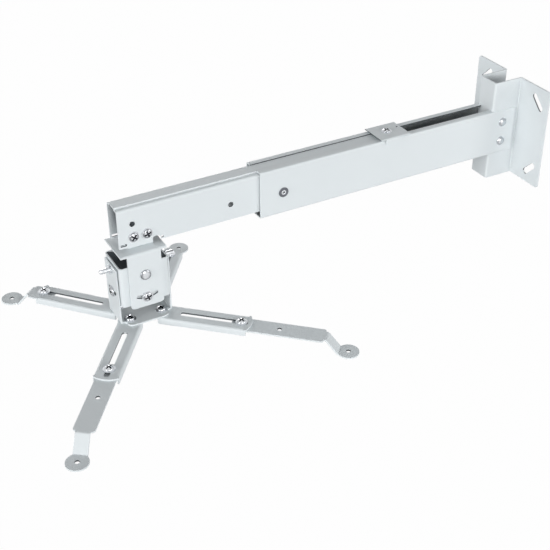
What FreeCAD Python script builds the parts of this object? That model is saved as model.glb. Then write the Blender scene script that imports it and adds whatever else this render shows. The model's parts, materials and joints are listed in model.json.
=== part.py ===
"""Wall-mounted projector bracket: a telescoping boom with a tilting head and four arms.

Frame: origin at the centre of the wall bracket's back face, +X out of the wall along
the boom, +Z up, +Y to the boom's left when looking from the wall. Millimetres.
"""
import FreeCAD, Part
import math
import os

import Sketcher

DIMENSIONS = {
    # Wall bracket: one folded hat section with four slanted screw slots.
    "bracket_height": 132.6,
    "bracket_width": 140.0,
    "bracket_depth": 41.8,
    "bracket_sheet": 2.0,
    "bracket_corner": 4.0,
    "crown_width": 31.0,
    "wall_slot_width": 8.0,
    "wall_slot_length": 25.0,
    "wall_slot_side": 50.7,
    "wall_slot_up": 46.2,
    "wall_slot_angle": 45.0,
    # Outer channel: a lipped section, open on top, that straddles the crown.
    "outer_sheet": 1.5,
    "outer_top": 28.0,
    "outer_bottom": -32.0,
    "outer_tail": 8.0,
    "outer_nose": 376.3,
    "outer_slot": 17.0,
    "straddle_fit": 0.05,
    "straddle_bolt_x": 26.0,
    "straddle_bolt_high": 11.3,
    "straddle_bolt_low": -15.0,
    "lock_x": 345.8,
    "lock_z": -4.0,
    # Inner channel: a stepped section whose raised back runs in the slot.
    "inner_sheet": 1.5,
    "inner_width": 28.0,
    "inner_tail": 172.0,
    "inner_nose": 551.6,
    "inner_bottom": -23.1,
    "back_slot_gap": 0.8,
    "back_below_lips": 0.8,
    "back_step": 2.0,
    "notch_x": 507.0,
    "notch_radius": 6.0,
    "pinhole_front_x": 534.2,
    "pinhole_front_z": 5.5,
    "pinhole_rear_x": 413.2,
    "pinhole_rear_z": -3.4,
    "pinhole_radius": 3.3,
    "end_slot_x": 546.0,
    "end_slot_z": -19.0,
    "end_slot_width": 3.0,
    "end_slot_length": 8.0,
    "dimple_x": 499.7,
    "dimple_radius": 1.5,
    # Slider: a folded plate that hangs the inner channel from the lips.
    "slider_sheet": 1.6,
    "slider_start": 170.5,
    "slider_end": 212.0,
    "slider_side_gap": 0.6,
    "slider_lift": 1.2,
    "slider_tab_start": 183.0,
    "slider_tab_end": 205.0,
    "slider_tab_drop": 6.0,
    "slider_screw_x": 192.6,
    "slider_pilot_inset": 4.0,
    "slider_pilot_side": 5.0,
    "slider_pilot_radius": 1.2,
    # Swivel axis, and the heights of the tilt and roll axes that cross it.
    "axis_x": 527.4,
    "tilt_z": -56.5,
    "roll_z": -53.5,
    "head_sheet": 2.0,
    # Adapter inside the end of the inner channel.
    "adapter_start": 510.5,
    "adapter_end": 541.0,
    "adapter_top": -1.0,
    "adapter_gap": 0.2,
    "adapter_bottom": -27.1,
    "adapter_screw_first": 517.6,
    "adapter_screw_second": 533.7,
    "adapter_screw_z": -10.9,
    "swivel_gap": 0.1,
    # Upper yoke and tilt box, measured from the tilt axis.
    "yoke_plate_half": 27.8,
    "yoke_flange_half": 20.2,
    "yoke_half_width": 25.0,
    "yoke_drop": 42.3,
    "yoke_corner": 4.0,
    "tilt_slot_half_angle": 22.0,
    "lock_screw_radius": 29.5,
    "lock_shank_radius": 2.0,
    "head_slot_width": 4.6,
    "box_sheet": 1.5,
    "box_gap": 0.5,
    "box_top": 13.2,
    "box_bottom": 38.2,
    "box_bend": 4.0,
    # Lower yoke, measured from the roll axis.
    "roll_slot_half_angle": 18.0,
    "lower_half_length": 32.2,
    "lower_flange_half": 17.2,
    "lower_flange_top": 7.0,
    "lower_depth": 66.1,
    "base_half_width": 27.5,
    "base_half_length": 25.7,
    "base_corner": 7.4,
    "arm_bolt_x": 19.6,
    "arm_bolt_y": 14.9,
    # Arms: inverted channels with a long slot.
    "arm_width": 29.0,
    "arm_length": 109.0,
    "arm_sheet": 2.0,
    "arm_height": 8.0,
    "arm_slot_width": 6.6,
    "arm_slot_start": 23.0,
    "arm_slot_end": 104.6,
    "arm_gap": 0.2,
    "arm_nose_radius": 28.0,
    "front_arm_angle": 53.0,
    "left_arm_angle": -47.8,
    "right_arm_angle": 137.5,
    "back_arm_angle": -127.0,
    "front_screw_at": 91.5,
    "left_screw_at": 101.2,
    "right_screw_at": 97.0,
    "back_screw_at": 98.0,
    # Strips: folded feet that slide under the arms.
    "strip_width": 23.8,
    "strip_sheet": 2.0,
    "strip_gap": 0.2,
    "strip_tail": 12.0,
    "strip_fall": 17.0,
    "leg_width": 16.0,
    "leg_run": 14.0,
    "long_bend_at": 101.0,
    "long_foot_at": 125.5,
    "long_hole_at": 45.0,
    "short_bend_at": 20.0,
    "short_foot_at": 47.0,
    "foot_radius": 12.5,
    "foot_hole_radius": 2.75,
    # Fasteners.
    "bolt_radius": 3.0,
    "bolt_head_radius": 6.1,
    "bolt_head_height": 3.0,
    "wide_head_radius": 6.7,
    "bolt_clearance": 0.3,
    "pinch": 0.05,
    "nut_radius": 5.8,
    "nut_height": 4.6,
    "washer_radius": 7.0,
    "washer_sheet": 1.0,
    "thread_gap": 0.05,
    "insert_radius": 4.5,
    "insert_flange_radius": 6.25,
    "insert_flange": 1.0,
    "insert_tail": 1.2,
    "lock_screw_length": 4.2,
    "lock_recess_radius": 1.5,
    "swivel_radius": 5.0,
    "swivel_head_radius": 9.0,
    "swivel_head_height": 4.5,
    "swivel_nut_radius": 9.0,
    "swivel_nut_height": 6.0,
    "swivel_washer_radius": 11.0,
    "pin_radius": 4.0,
    "pin_head_radius": 6.5,
    "pin_head_height": 2.6,
    "pin_tail_radius": 6.0,
    "pin_tail_height": 1.6,
    "stud_radius": 3.0,
    "stud_reach": 13.6,
    "stud_collar_radius": 5.5,
    "stud_collar_height": 2.0,
    # How far a cut runs past the faces that it opens.
    "overcut": 1.0,
}

# Inner and outer bend radius as shares of the sheet's thickness.
TIGHT_BEND = 0.5
WIDE_BEND = 1.5
# The same for the shoulders of the roll-formed section.
ROLLED_INSIDE = 1.0
ROLLED_OUTSIDE = 2.0
# Small fasteners are many-sided blanks with plain heads.
HEAD_SIDES = 24
THREAD_SIDES = 12
NUT_SIDES = 6
# Places closer together than this are the same place.
TOLERANCE = 0.01
BOTH = (1, -1)
# How much of a ledge beside a corner its fillet may take.
LEDGE_SHARE = 0.8

doc = FreeCAD.newDocument("projector_mount")
sheet = doc.addObject("Spreadsheet::Sheet", "dims")
for row, (alias, number) in enumerate(DIMENSIONS.items(), start=1):
    sheet.set("A%d" % row, alias)
    sheet.set("B%d" % row, str(number))
    sheet.setAlias("B%d" % row, alias)
doc.recompute()


class Size:
    """A length or angle: its number, and the sheet expression that gives it."""

    def __init__(self, number, text):
        self.number = number
        self.text = text

    @staticmethod
    def of(other):
        if isinstance(other, Size):
            return other
        return Size(float(other), repr(float(other)))

    def joined(self, sign, other, number):
        return Size(number, "(%s %s %s)" % (self.text, sign, other.text))

    def __add__(self, other):
        other = Size.of(other)
        return self.joined("+", other, self.number + other.number)

    def __sub__(self, other):
        other = Size.of(other)
        return self.joined("-", other, self.number - other.number)

    def __mul__(self, other):
        other = Size.of(other)
        return self.joined("*", other, self.number * other.number)

    def __truediv__(self, other):
        other = Size.of(other)
        return self.joined("/", other, self.number / other.number)

    def __radd__(self, other):
        return Size.of(other) + self

    def __rsub__(self, other):
        return Size.of(other) - self

    def __rmul__(self, other):
        return Size.of(other) * self

    def __neg__(self):
        return Size(-self.number, "(0 - %s)" % self.text)


class Dimensions:
    """Reads the sheet's cells as sizes, by alias."""

    def __getattr__(self, alias):
        return Size(float(sheet.get(alias)), "dims.%s" % alias)


d = Dimensions()


def cosine(angle):
    return Size(math.cos(math.radians(angle.number)), "cos(%s)" % angle.text)


def sine(angle):
    return Size(math.sin(math.radians(angle.number)), "sin(%s)" % angle.text)


def square_root(size):
    return Size(math.sqrt(size.number), "sqrt(%s)" % size.text)


def arc_tangent(ratio):
    return Size(math.degrees(math.atan(ratio.number)), "atan(%s) / 1 deg" % ratio.text)


def tangent(angle):
    return Size(math.tan(math.radians(angle.number)), "tan(%s)" % angle.text)


def bind(thing, path, size):
    """Bind one property of an object to a size."""
    thing.setExpression(path, Size.of(size).text)


# Sketches and features

def new_body(label):
    body = doc.addObject("PartDesign::Body", label)
    body.Label = label
    return body


def place(body, where=(0.0, 0.0, 0.0), turn=None):
    """Bind a body's place, and its turn about Z."""
    for axis, size in zip("xyz", where):
        bind(body, ".Placement.Base.%s" % axis, size)
    if turn is not None:
        bind(body, ".Placement.Rotation.Angle", turn)


def new_sketch(body, role, offset=0.0):
    """A sketch on one of the body's own origin planes, moved along its normal."""
    plane = [item for item in body.Origin.OriginFeatures if item.Role == role][0]
    sketch = body.newObject("Sketcher::SketchObject", "%s_sketch" % body.Label)
    sketch.AttachmentSupport = (plane, [""])
    sketch.MapMode = "FlatFace"
    sketch.AttachmentOffset = FreeCAD.Placement(
        FreeCAD.Vector(0, 0, Size.of(offset).number), FreeCAD.Rotation()
    )
    bind(sketch, "AttachmentOffset.Base.z", offset)
    return sketch


def constrain(sketch, kind, items, size):
    """Add one measured constraint and bind it to a size."""
    size = Size.of(size)
    index = sketch.addConstraint(Sketcher.Constraint(kind, *items, size.number))
    bind(sketch, "Constraints[%d]" % index, size)


def fix_point(sketch, curve, end, across, along):
    """Tie a point of a sketch curve to the sketch's origin."""
    constrain(sketch, "DistanceX", (-1, 1, curve, end), across)
    constrain(sketch, "DistanceY", (-1, 1, curve, end), along)


def outline(sketch, corners):
    """A closed outline of straight lines through the corners."""
    first = len(sketch.Geometry)
    points = [FreeCAD.Vector(Size.of(a).number, Size.of(b).number, 0) for a, b in corners]
    for start, end in zip(points, points[1:] + points[:1]):
        sketch.addGeometry(Part.LineSegment(start, end), False)
    last = first + len(points) - 1
    for index, (across, along) in enumerate(corners):
        curve = first + index
        following = first if curve == last else curve + 1
        sketch.addConstraint(Sketcher.Constraint("Coincident", curve, 2, following, 1))
        fix_point(sketch, curve, 1, across, along)


def circle(sketch, across, along, radius):
    across, along, radius = Size.of(across), Size.of(along), Size.of(radius)
    centre = FreeCAD.Vector(across.number, along.number, 0)
    curve = sketch.addGeometry(
        Part.Circle(centre, FreeCAD.Vector(0, 0, 1), radius.number), False
    )
    constrain(sketch, "Radius", (curve,), radius)
    fix_point(sketch, curve, 3, across, along)


def slot(sketch, start, end, width):
    """A round-ended slot between two centres."""
    first = len(sketch.Geometry)
    ends = [(Size.of(a), Size.of(b)) for a, b in (start, end)]
    begin, finish = [FreeCAD.Vector(a.number, b.number, 0) for a, b in ends]
    radius = Size.of(width) / 2
    heading = math.atan2(finish.y - begin.y, finish.x - begin.x)
    side = FreeCAD.Vector(-math.sin(heading), math.cos(heading), 0) * radius.number
    quarter = math.pi / 2
    up = FreeCAD.Vector(0, 0, 1)
    sketch.addGeometry(Part.ArcOfCircle(
        Part.Circle(begin, up, radius.number), heading + quarter, heading + 3 * quarter), False)
    sketch.addGeometry(Part.ArcOfCircle(
        Part.Circle(finish, up, radius.number), heading - quarter, heading + quarter), False)
    sketch.addGeometry(Part.LineSegment(begin - side, finish - side), False)
    sketch.addGeometry(Part.LineSegment(finish + side, begin + side), False)
    near, far, low, high = range(first, first + 4)
    for one, other in ((near, low), (low, far), (far, high), (high, near)):
        sketch.addConstraint(Sketcher.Constraint("Tangent", one, 2, other, 1))
    sketch.addConstraint(Sketcher.Constraint("Equal", near, far))
    constrain(sketch, "Radius", (near,), radius)
    fix_point(sketch, near, 3, *ends[0])
    fix_point(sketch, far, 3, *ends[1])


def pad(body, sketch, length, symmetric=False, backward=False):
    feature = body.newObject("PartDesign::Pad", "%s_pad" % body.Label)
    feature.Profile = sketch
    feature.SideType = "Symmetric" if symmetric else "One side"
    feature.Reversed = backward
    bind(feature, "Length", length)
    doc.recompute()
    return feature


def pocket(body, sketch, length=None, symmetric=False, backward=False):
    """Cut a sketch out; with no length it goes through everything, both ways."""
    before = body.Shape.Volume
    feature = body.newObject("PartDesign::Pocket", "%s_pocket" % body.Label)
    feature.Profile = sketch
    feature.Reversed = backward
    if length is None:
        feature.Type = "ThroughAll"
        feature.SideType = "Symmetric"
    else:
        feature.SideType = "Symmetric" if symmetric else "One side"
        bind(feature, "Length", length)
    doc.recompute()
    check_removed(body, feature, before)
    return feature


def check_removed(body, feature, before):
    """Stop if a cut took nothing away."""
    if feature.Shape.isNull() or feature.Shape.Volume >= before:
        raise RuntimeError("%s cuts nothing" % feature.Name)


def revolve(body, sketch):
    feature = body.newObject("PartDesign::Revolution", "%s_turned" % body.Label)
    feature.Profile = sketch
    feature.ReferenceAxis = (sketch, ["V_Axis"])
    feature.Angle = 360
    doc.recompute()
    return feature


def groove(body, sketch, axis, angle):
    """Cut a sketch along an arc about one of its own axes, the same both ways."""
    before = body.Shape.Volume
    feature = body.newObject("PartDesign::Groove", "%s_groove" % body.Label)
    feature.Profile = sketch
    feature.ReferenceAxis = (sketch, [axis])
    feature.Midplane = True
    bind(feature, "Angle", angle)
    doc.recompute()
    check_removed(body, feature, before)
    return feature


def edges_along(shape, axis, places):
    """Names of the straight edges along one axis that pass through given places."""
    along = "XYZ".index(axis)
    others = [index for index in range(3) if index != along]
    names = []
    for number, edge in enumerate(shape.Edges, start=1):
        if edge.Curve.TypeId != "Part::GeomLine":
            continue
        if abs(edge.Curve.Direction[along]) < 0.999:
            continue
        middle = edge.CenterOfMass
        for pair in places:
            misses = [abs(middle[other] - Size.of(size).number) for other, size in zip(others, pair)]
            if max(misses) < TOLERANCE:
                names.append("Edge%d" % number)
    return names


def round_edges(body, axis, places, radius):
    """Fillet the straight edges along one axis at given places of the other two."""
    base = body.Tip
    names = edges_along(base.Shape, axis, places)
    if not names:
        raise RuntimeError("%s has no such edge" % body.Label)
    feature = body.newObject("PartDesign::Fillet", "%s_bend" % body.Label)
    feature.Base = (base, names)
    bind(feature, "Radius", radius)
    doc.recompute()
    return feature


def mirrored(points):
    """The points, then the same points with the first value's sign turned, backwards."""
    return list(points) + [(-Size.of(across), along) for across, along in reversed(points)]


# Fasteners

def turned(label, profile):
    """A body turned about its own Z from a half profile of (radius, height) corners."""
    body = new_body(label)
    sketch = new_sketch(body, "XZ_Plane")
    outline(sketch, profile)
    revolve(body, sketch)
    return body


def polygon(sketch, radius, sides):
    """A closed regular outline about the sketch's origin."""
    turns = [2 * math.pi * index / sides for index in range(sides)]
    outline(sketch, [(radius * math.cos(turn), radius * math.sin(turn)) for turn in turns])


def screw_blank(label, length, head_radius, shank_radius):
    """A screw whose head is seated at z = 0 and whose shank goes down."""
    body = new_body(label)
    shank = new_sketch(body, "XY_Plane")
    polygon(shank, shank_radius, THREAD_SIDES)
    pad(body, shank, length, backward=True)
    head = new_sketch(body, "XY_Plane")
    polygon(head, head_radius, HEAD_SIDES)
    pad(body, head, d.bolt_head_height)
    return body


def bore(sketch, shank):
    """A many-sided hole that clears a round shank of a given radius."""
    polygon(sketch, (shank + d.thread_gap) / math.cos(math.pi / THREAD_SIDES), THREAD_SIDES)


def nut_blank(label, radius, height, shank):
    """A hexagon nut whose seat is at z = 0 and whose body goes down."""
    body = new_body(label)
    sketch = new_sketch(body, "XY_Plane")
    polygon(sketch, radius, NUT_SIDES)
    bore(sketch, shank)
    pad(body, sketch, height, backward=True)
    return body


def small_screw(label, length, head_radius):
    return screw_blank(label, length, head_radius, d.bolt_radius)


def small_nut(label):
    return nut_blank(label, d.nut_radius, d.nut_height, d.bolt_radius)


def washer_blank(label, radius, height, shank):
    """A flat washer whose seat is at z = 0 and whose body goes up."""
    body = new_body(label)
    sketch = new_sketch(body, "XY_Plane")
    polygon(sketch, radius, HEAD_SIDES)
    bore(sketch, shank)
    pad(body, sketch, height)
    return body


def spot(where, direction=(0, 0, 1)):
    """A placement that takes +Z to a direction at a point."""
    point = FreeCAD.Vector(*[Size.of(size).number for size in where])
    return FreeCAD.Placement(point, FreeCAD.Rotation(FreeCAD.Vector(0, 0, 1), FreeCAD.Vector(*direction)))


def copies(label, blank, places):
    """One node of separate equal solids, copied from a blank to each place."""
    doc.recompute()
    solids = []
    for where in places:
        solid = blank.Shape.Solids[0].copy()
        solid.Placement = where.multiply(solid.Placement)
        solids.append(solid)
    feature = doc.addObject("Part::Feature", label)
    feature.Label = label
    feature.Shape = Part.makeCompound(solids)
    return feature


# Wall bracket and outer channel

def build_wall_bracket():
    half_crown = d.crown_width / 2
    half_width = d.bracket_width / 2
    half_height = d.bracket_height / 2
    thick = d.bracket_sheet
    inside = half_crown - thick
    body = new_body("wall_bracket")
    sketch = new_sketch(body, "XY_Plane")
    zero = Size.of(0)
    upper = [
        (zero, half_width), (thick, half_width), (thick, half_crown), (d.bracket_depth, half_crown),
    ]
    lower = [(across, -along) for across, along in reversed(upper)]
    back = [(zero, -inside), (d.bracket_depth - thick, -inside)]
    back += [(across, -along) for across, along in reversed(back)]
    outline(sketch, upper + lower + back)
    pad(body, sketch, d.bracket_height, symmetric=True)
    round_edges(body, "Z", [(thick, half_crown * side) for side in BOTH]
                + [(d.bracket_depth - thick, inside * side) for side in BOTH], thick * TIGHT_BEND)
    round_edges(body, "Z", [(zero, inside * side) for side in BOTH]
                + [(d.bracket_depth, half_crown * side) for side in BOTH], thick * WIDE_BEND)
    round_edges(body, "X", [
        (half_width * side, half_height * level) for side in BOTH for level in BOTH
    ], d.bracket_corner)
    slots = new_sketch(body, "YZ_Plane")
    reach = (d.wall_slot_length - d.wall_slot_width) / 2
    step_side = reach * cosine(d.wall_slot_angle)
    step_up = reach * sine(d.wall_slot_angle)
    for side in BOTH:
        for level in BOTH:
            high = ((d.wall_slot_side - step_side) * side, (d.wall_slot_up + step_up) * level)
            low = ((d.wall_slot_side + step_side) * side, (d.wall_slot_up - step_up) * level)
            slot(slots, high, low, d.wall_slot_width)
    pocket(body, slots)
    straddle_bolt_holes(body)
    return body


def straddle_bolt_holes(body):
    """Holes for the bolts that cross the bracket's crown and the outer channel."""
    holes = new_sketch(body, "XZ_Plane")
    for level in (d.straddle_bolt_high, d.straddle_bolt_low):
        circle(holes, d.straddle_bolt_x, level, d.bolt_radius + d.pinch)
    pocket(body, holes)


def outer_half_inside():
    return d.crown_width / 2 + d.straddle_fit


def outer_half_outside():
    return outer_half_inside() + d.outer_sheet


def build_outer_channel():
    inside = outer_half_inside()
    outside = outer_half_outside()
    lip = d.outer_slot / 2
    thick = d.outer_sheet
    under_lip = d.outer_top - thick
    floor = d.outer_bottom + thick
    body = new_body("outer_channel")
    section = new_sketch(body, "YZ_Plane", d.outer_tail)
    outline(section, mirrored([
        (outside, d.outer_bottom), (outside, d.outer_top), (lip, d.outer_top),
        (lip, under_lip), (inside, under_lip), (inside, floor),
    ]))
    pad(body, section, d.outer_nose - d.outer_tail)
    round_edges(body, "X", [
        (inside * side, level) for side in BOTH for level in (under_lip, floor)
    ], thick * TIGHT_BEND)
    round_edges(body, "X", [
        (outside * side, level) for side in BOTH for level in (d.outer_top, d.outer_bottom)
    ], thick * WIDE_BEND)
    straddle = new_sketch(body, "YZ_Plane", d.outer_tail)
    above, below = d.outer_top + d.overcut, d.outer_bottom - d.overcut
    outline(straddle, [(inside, below), (inside, above), (-inside, above), (-inside, below)])
    pocket(body, straddle, d.bracket_depth - d.outer_tail + d.straddle_fit, backward=True)
    straddle_bolt_holes(body)
    insert = new_sketch(body, "XZ_Plane")
    circle(insert, d.lock_x, d.lock_z, d.insert_radius + d.thread_gap)
    pocket(body, insert, outside + d.overcut)
    return body


def build_channel_fasteners():
    outside = outer_half_outside()
    web_inside = d.crown_width / 2 - d.bracket_sheet
    length = outside - web_inside + d.nut_height
    bolt = small_screw("channel_bolt_blank", length, d.bolt_head_radius)
    nut = small_nut("channel_nut_blank")
    bolts = []
    nuts = []
    for side in BOTH:
        for level in (d.straddle_bolt_high, d.straddle_bolt_low):
            bolts.append(spot((d.straddle_bolt_x, outside * side, level), (0, side, 0)))
            nuts.append(spot((d.straddle_bolt_x, web_inside * side, level), (0, side, 0)))
    return [copies("channel_bolts", bolt, bolts), copies("channel_nuts", nut, nuts)]


def build_lock():
    """The threaded insert in the near wall and the set screw that pinches the inner channel."""
    outside = outer_half_outside()
    inside = outer_half_inside()
    thread = d.bolt_radius + d.thread_gap
    tail = -(d.outer_sheet + d.insert_tail)
    insert = turned("lock_insert", [
        (thread, d.insert_flange), (d.insert_flange_radius, d.insert_flange),
        (d.insert_flange_radius, 0), (d.insert_radius, 0), (d.insert_radius, tail), (thread, tail),
    ])
    tip = d.inner_width / 2 + d.pinch
    screw = turned("extension_lock_screw", [
        (0, 0), (d.bolt_radius, 0), (d.bolt_radius, -d.lock_screw_length), (0, -d.lock_screw_length),
    ])
    recess = new_sketch(screw, "XY_Plane")
    polygon(recess, d.lock_recess_radius, NUT_SIDES)
    pocket(screw, recess, d.lock_screw_length / 2)
    for body, level in ((insert, outside), (screw, tip + d.lock_screw_length)):
        body.Placement = FreeCAD.Placement(
            FreeCAD.Vector(), FreeCAD.Rotation(FreeCAD.Vector(1, 0, 0), -90)
        )
        place(body, (d.lock_x, level, d.lock_z))
    return [insert, screw]


# Boom

def back_top():
    return d.outer_top - d.back_below_lips


def inner_section():
    """Corners of the stepped section, from the right wall's foot over the back."""
    outside = d.inner_width / 2
    thick = d.inner_sheet
    inside = outside - thick
    back = d.outer_slot / 2 - d.back_slot_gap
    top = back_top()
    shoulder = top - d.back_step
    outer_line = [(outside, d.inner_bottom), (outside, shoulder), (back, shoulder), (back, top)]
    inner_line = [
        (back - thick, top - thick), (back - thick, shoulder - thick),
        (inside, shoulder - thick), (inside, d.inner_bottom),
    ]
    left_outer = [(-across, along) for across, along in reversed(outer_line)]
    left_inner = [(-across, along) for across, along in reversed(inner_line)]
    return outer_line + left_outer + left_inner + inner_line


def build_boom():
    body = new_body("inner_channel")
    section = new_sketch(body, "YZ_Plane", d.inner_tail)
    outline(section, inner_section())
    pad(body, section, d.inner_nose - d.inner_tail)
    outside = d.inner_width / 2
    thick = d.inner_sheet
    inside = outside - thick
    shoulder = back_top() - d.back_step
    round_edges(body, "X", [
        (inside * side, shoulder - thick) for side in BOTH
    ], thick * ROLLED_INSIDE)
    round_edges(body, "X", [(outside * side, shoulder) for side in BOTH], thick * ROLLED_OUTSIDE)
    holes = new_sketch(body, "XZ_Plane")
    circle(holes, d.pinhole_front_x, d.pinhole_front_z, d.pinhole_radius)
    circle(holes, d.pinhole_rear_x, d.pinhole_rear_z, d.pinhole_radius)
    circle(holes, d.dimple_x, d.inner_bottom + d.dimple_radius * 2, d.dimple_radius)
    circle(holes, d.notch_x, d.inner_bottom, d.notch_radius)
    for across in (d.adapter_screw_first, d.adapter_screw_second):
        circle(holes, across, d.adapter_screw_z, d.bolt_radius + d.pinch)
    half_slot = (d.end_slot_length - d.end_slot_width) / 2
    slot(holes, (d.end_slot_x - half_slot, d.end_slot_z), (d.end_slot_x + half_slot, d.end_slot_z),
         d.end_slot_width)
    pocket(body, holes)
    slider_hole = new_sketch(body, "XY_Plane")
    circle(slider_hole, d.slider_screw_x, 0, d.bolt_radius + d.pinch)
    pocket(body, slider_hole)
    return body


def build_slider():
    """The folded slider plate that rides over the lips, with its spacer, screw and nut."""
    thick = d.slider_sheet
    inside = outer_half_outside() + d.slider_side_gap
    outside = inside + thick
    seat = d.outer_top + d.slider_lift
    top = seat + thick
    bottom = seat - d.slider_tab_drop
    body = new_body("slider_plate")
    section = new_sketch(body, "YZ_Plane", d.slider_start)
    outline(section, mirrored([
        (inside, seat), (inside, bottom), (outside, bottom), (outside, top),
    ]))
    pad(body, section, d.slider_end - d.slider_start)
    round_edges(body, "X", [(inside * side, seat) for side in BOTH], thick * TIGHT_BEND)
    round_edges(body, "X", [(outside * side, top) for side in BOTH], thick * WIDE_BEND)
    trims = new_sketch(body, "XZ_Plane")
    below = bottom - d.overcut
    ends = ((d.slider_start - d.overcut, d.slider_tab_start), (d.slider_tab_end, d.slider_end + d.overcut))
    for start, end in ends:
        outline(trims, [(start, below), (end, below), (end, seat), (start, seat)])
    pocket(body, trims)
    holes = new_sketch(body, "XY_Plane")
    circle(holes, d.slider_screw_x, 0, d.bolt_radius + d.pinch)
    circle(holes, d.slider_start + d.slider_pilot_inset, -d.slider_pilot_side, d.slider_pilot_radius)
    pocket(body, holes)
    under = back_top() - d.inner_sheet
    spacer = washer_blank("slider_spacer", d.washer_radius, seat - back_top(), d.bolt_radius)
    screw = small_screw("slider_screw", top - under + d.nut_height, d.bolt_head_radius)
    nut = small_nut("slider_nut")
    for item, level in ((spacer, back_top()), (screw, top), (nut, under)):
        place(item, (d.slider_screw_x, 0, level))
    return [body, spacer, screw, nut]


def adapter_outside():
    return d.inner_width / 2 - d.inner_sheet - d.adapter_gap


def build_adapter():
    """The folded adapter screwed into the end of the boom, and its swivel bolt."""
    outside = adapter_outside()
    inside = outside - d.head_sheet
    floor = d.adapter_bottom + d.head_sheet
    body = new_body("end_adapter")
    section = new_sketch(body, "YZ_Plane", d.adapter_start)
    outline(section, mirrored([
        (outside, d.adapter_bottom), (outside, d.adapter_top), (inside, d.adapter_top), (inside, floor),
    ]))
    pad(body, section, d.adapter_end - d.adapter_start)
    round_edges(body, "X", [(inside * side, floor) for side in BOTH], d.head_sheet * TIGHT_BEND)
    round_edges(body, "X", [
        (outside * side, d.adapter_bottom) for side in BOTH
    ], d.head_sheet * WIDE_BEND)
    holes = new_sketch(body, "XZ_Plane")
    for across in (d.adapter_screw_first, d.adapter_screw_second):
        circle(holes, across, d.adapter_screw_z, d.bolt_radius + d.pinch)
    pocket(body, holes)
    swivel = new_sketch(body, "XY_Plane")
    circle(swivel, d.axis_x, 0, d.swivel_radius + d.pinch)
    pocket(body, swivel)
    wall = d.inner_width / 2
    screw = small_screw("adapter_screw_blank", wall - inside + d.nut_height, d.wide_head_radius)
    nut = small_nut("adapter_nut_blank")
    screws = []
    nuts = []
    for side in BOTH:
        for across in (d.adapter_screw_first, d.adapter_screw_second):
            screws.append(spot((across, wall * side, d.adapter_screw_z), (0, side, 0)))
            nuts.append(spot((across, inside * side, d.adapter_screw_z), (0, side, 0)))
    return [body, copies("adapter_screws", screw, screws), copies("adapter_nuts", nut, nuts)]


def yoke_top():
    return d.adapter_bottom - d.swivel_gap


def build_swivel():
    """The vertical bolt that the whole head turns about, held in the adapter."""
    floor = d.adapter_bottom + d.head_sheet
    plate_under = yoke_top() - d.head_sheet
    washer_seat = plate_under - d.swivel_gap - d.washer_sheet
    length = floor - washer_seat + d.swivel_nut_height
    bolt = turned("swivel_bolt", [
        (0, d.swivel_head_height), (d.swivel_head_radius, d.swivel_head_height),
        (d.swivel_head_radius, 0), (d.swivel_radius, 0), (d.swivel_radius, -length), (0, -length),
    ])
    place(bolt, (d.axis_x, 0, floor))
    washer = washer_blank("swivel_washer", d.swivel_washer_radius, d.washer_sheet, d.swivel_radius)
    place(washer, (d.axis_x, 0, washer_seat))
    nut = nut_blank("swivel_nut", d.swivel_nut_radius, d.swivel_nut_height, d.swivel_radius)
    place(nut, (d.axis_x, 0, washer_seat))
    return [bolt, washer, nut]


# Head

def tilt_frame():
    return (d.axis_x, 0, d.tilt_z)


def roll_frame():
    return (d.axis_x, 0, d.roll_z)


def arc_slots(body, section_role, wall_role, half_angle, inner_face, outer_face):
    """Slots along an arc under the body's axis, with round ends, through one pair of walls."""
    half = d.head_slot_width / 2
    top, bottom = -(d.lock_screw_radius - half), -(d.lock_screw_radius + half)
    near, far = inner_face - d.overcut, outer_face + d.overcut
    for side in BOTH:
        sketch = new_sketch(body, section_role)
        outline(sketch, [
            (near * side, bottom), (far * side, bottom), (far * side, top), (near * side, top),
        ])
        groove(body, sketch, "H_Axis", half_angle * 2)
    ends = new_sketch(body, wall_role)
    across = d.lock_screw_radius * sine(half_angle)
    for side in BOTH:
        circle(ends, across * side, -(d.lock_screw_radius * cosine(half_angle)), half)
    pocket(body, ends)


def build_upper_yoke():
    """The inverted yoke under the adapter: a plate with two narrower flanges and tilt slots."""
    outside = d.yoke_half_width
    inside = outside - d.head_sheet
    top = yoke_top() - d.tilt_z
    under = top - d.head_sheet
    bottom = -d.yoke_drop
    body = new_body("upper_yoke")
    section = new_sketch(body, "YZ_Plane")
    outline(section, mirrored([(inside, under), (inside, bottom), (outside, bottom), (outside, top)]))
    pad(body, section, d.yoke_plate_half * 2, symmetric=True)
    round_edges(body, "X", [(inside * side, under) for side in BOTH], d.head_sheet * TIGHT_BEND)
    round_edges(body, "X", [(outside * side, top) for side in BOTH], d.head_sheet * WIDE_BEND)
    trims = new_sketch(body, "XZ_Plane")
    beyond, below = d.yoke_plate_half + d.overcut, bottom - d.overcut
    for side in BOTH:
        outline(trims, [
            (d.yoke_flange_half * side, below), (beyond * side, below),
            (beyond * side, under), (d.yoke_flange_half * side, under),
        ])
    pocket(body, trims)
    round_edges(body, "Y", [(d.yoke_flange_half * side, bottom) for side in BOTH], d.yoke_corner)
    holes = new_sketch(body, "XZ_Plane")
    circle(holes, 0, 0, d.pin_radius + d.bolt_clearance)
    pocket(body, holes)
    arc_slots(body, "YZ_Plane", "XZ_Plane", d.tilt_slot_half_angle, inside, outside)
    swivel = new_sketch(body, "XY_Plane")
    circle(swivel, 0, 0, d.swivel_radius + d.bolt_clearance)
    pocket(body, swivel)
    place(body, tilt_frame())
    return body


def box_half_x():
    return d.lower_half_length - d.head_sheet - d.box_gap


def box_half_y():
    return d.yoke_half_width - d.head_sheet - d.box_gap


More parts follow.
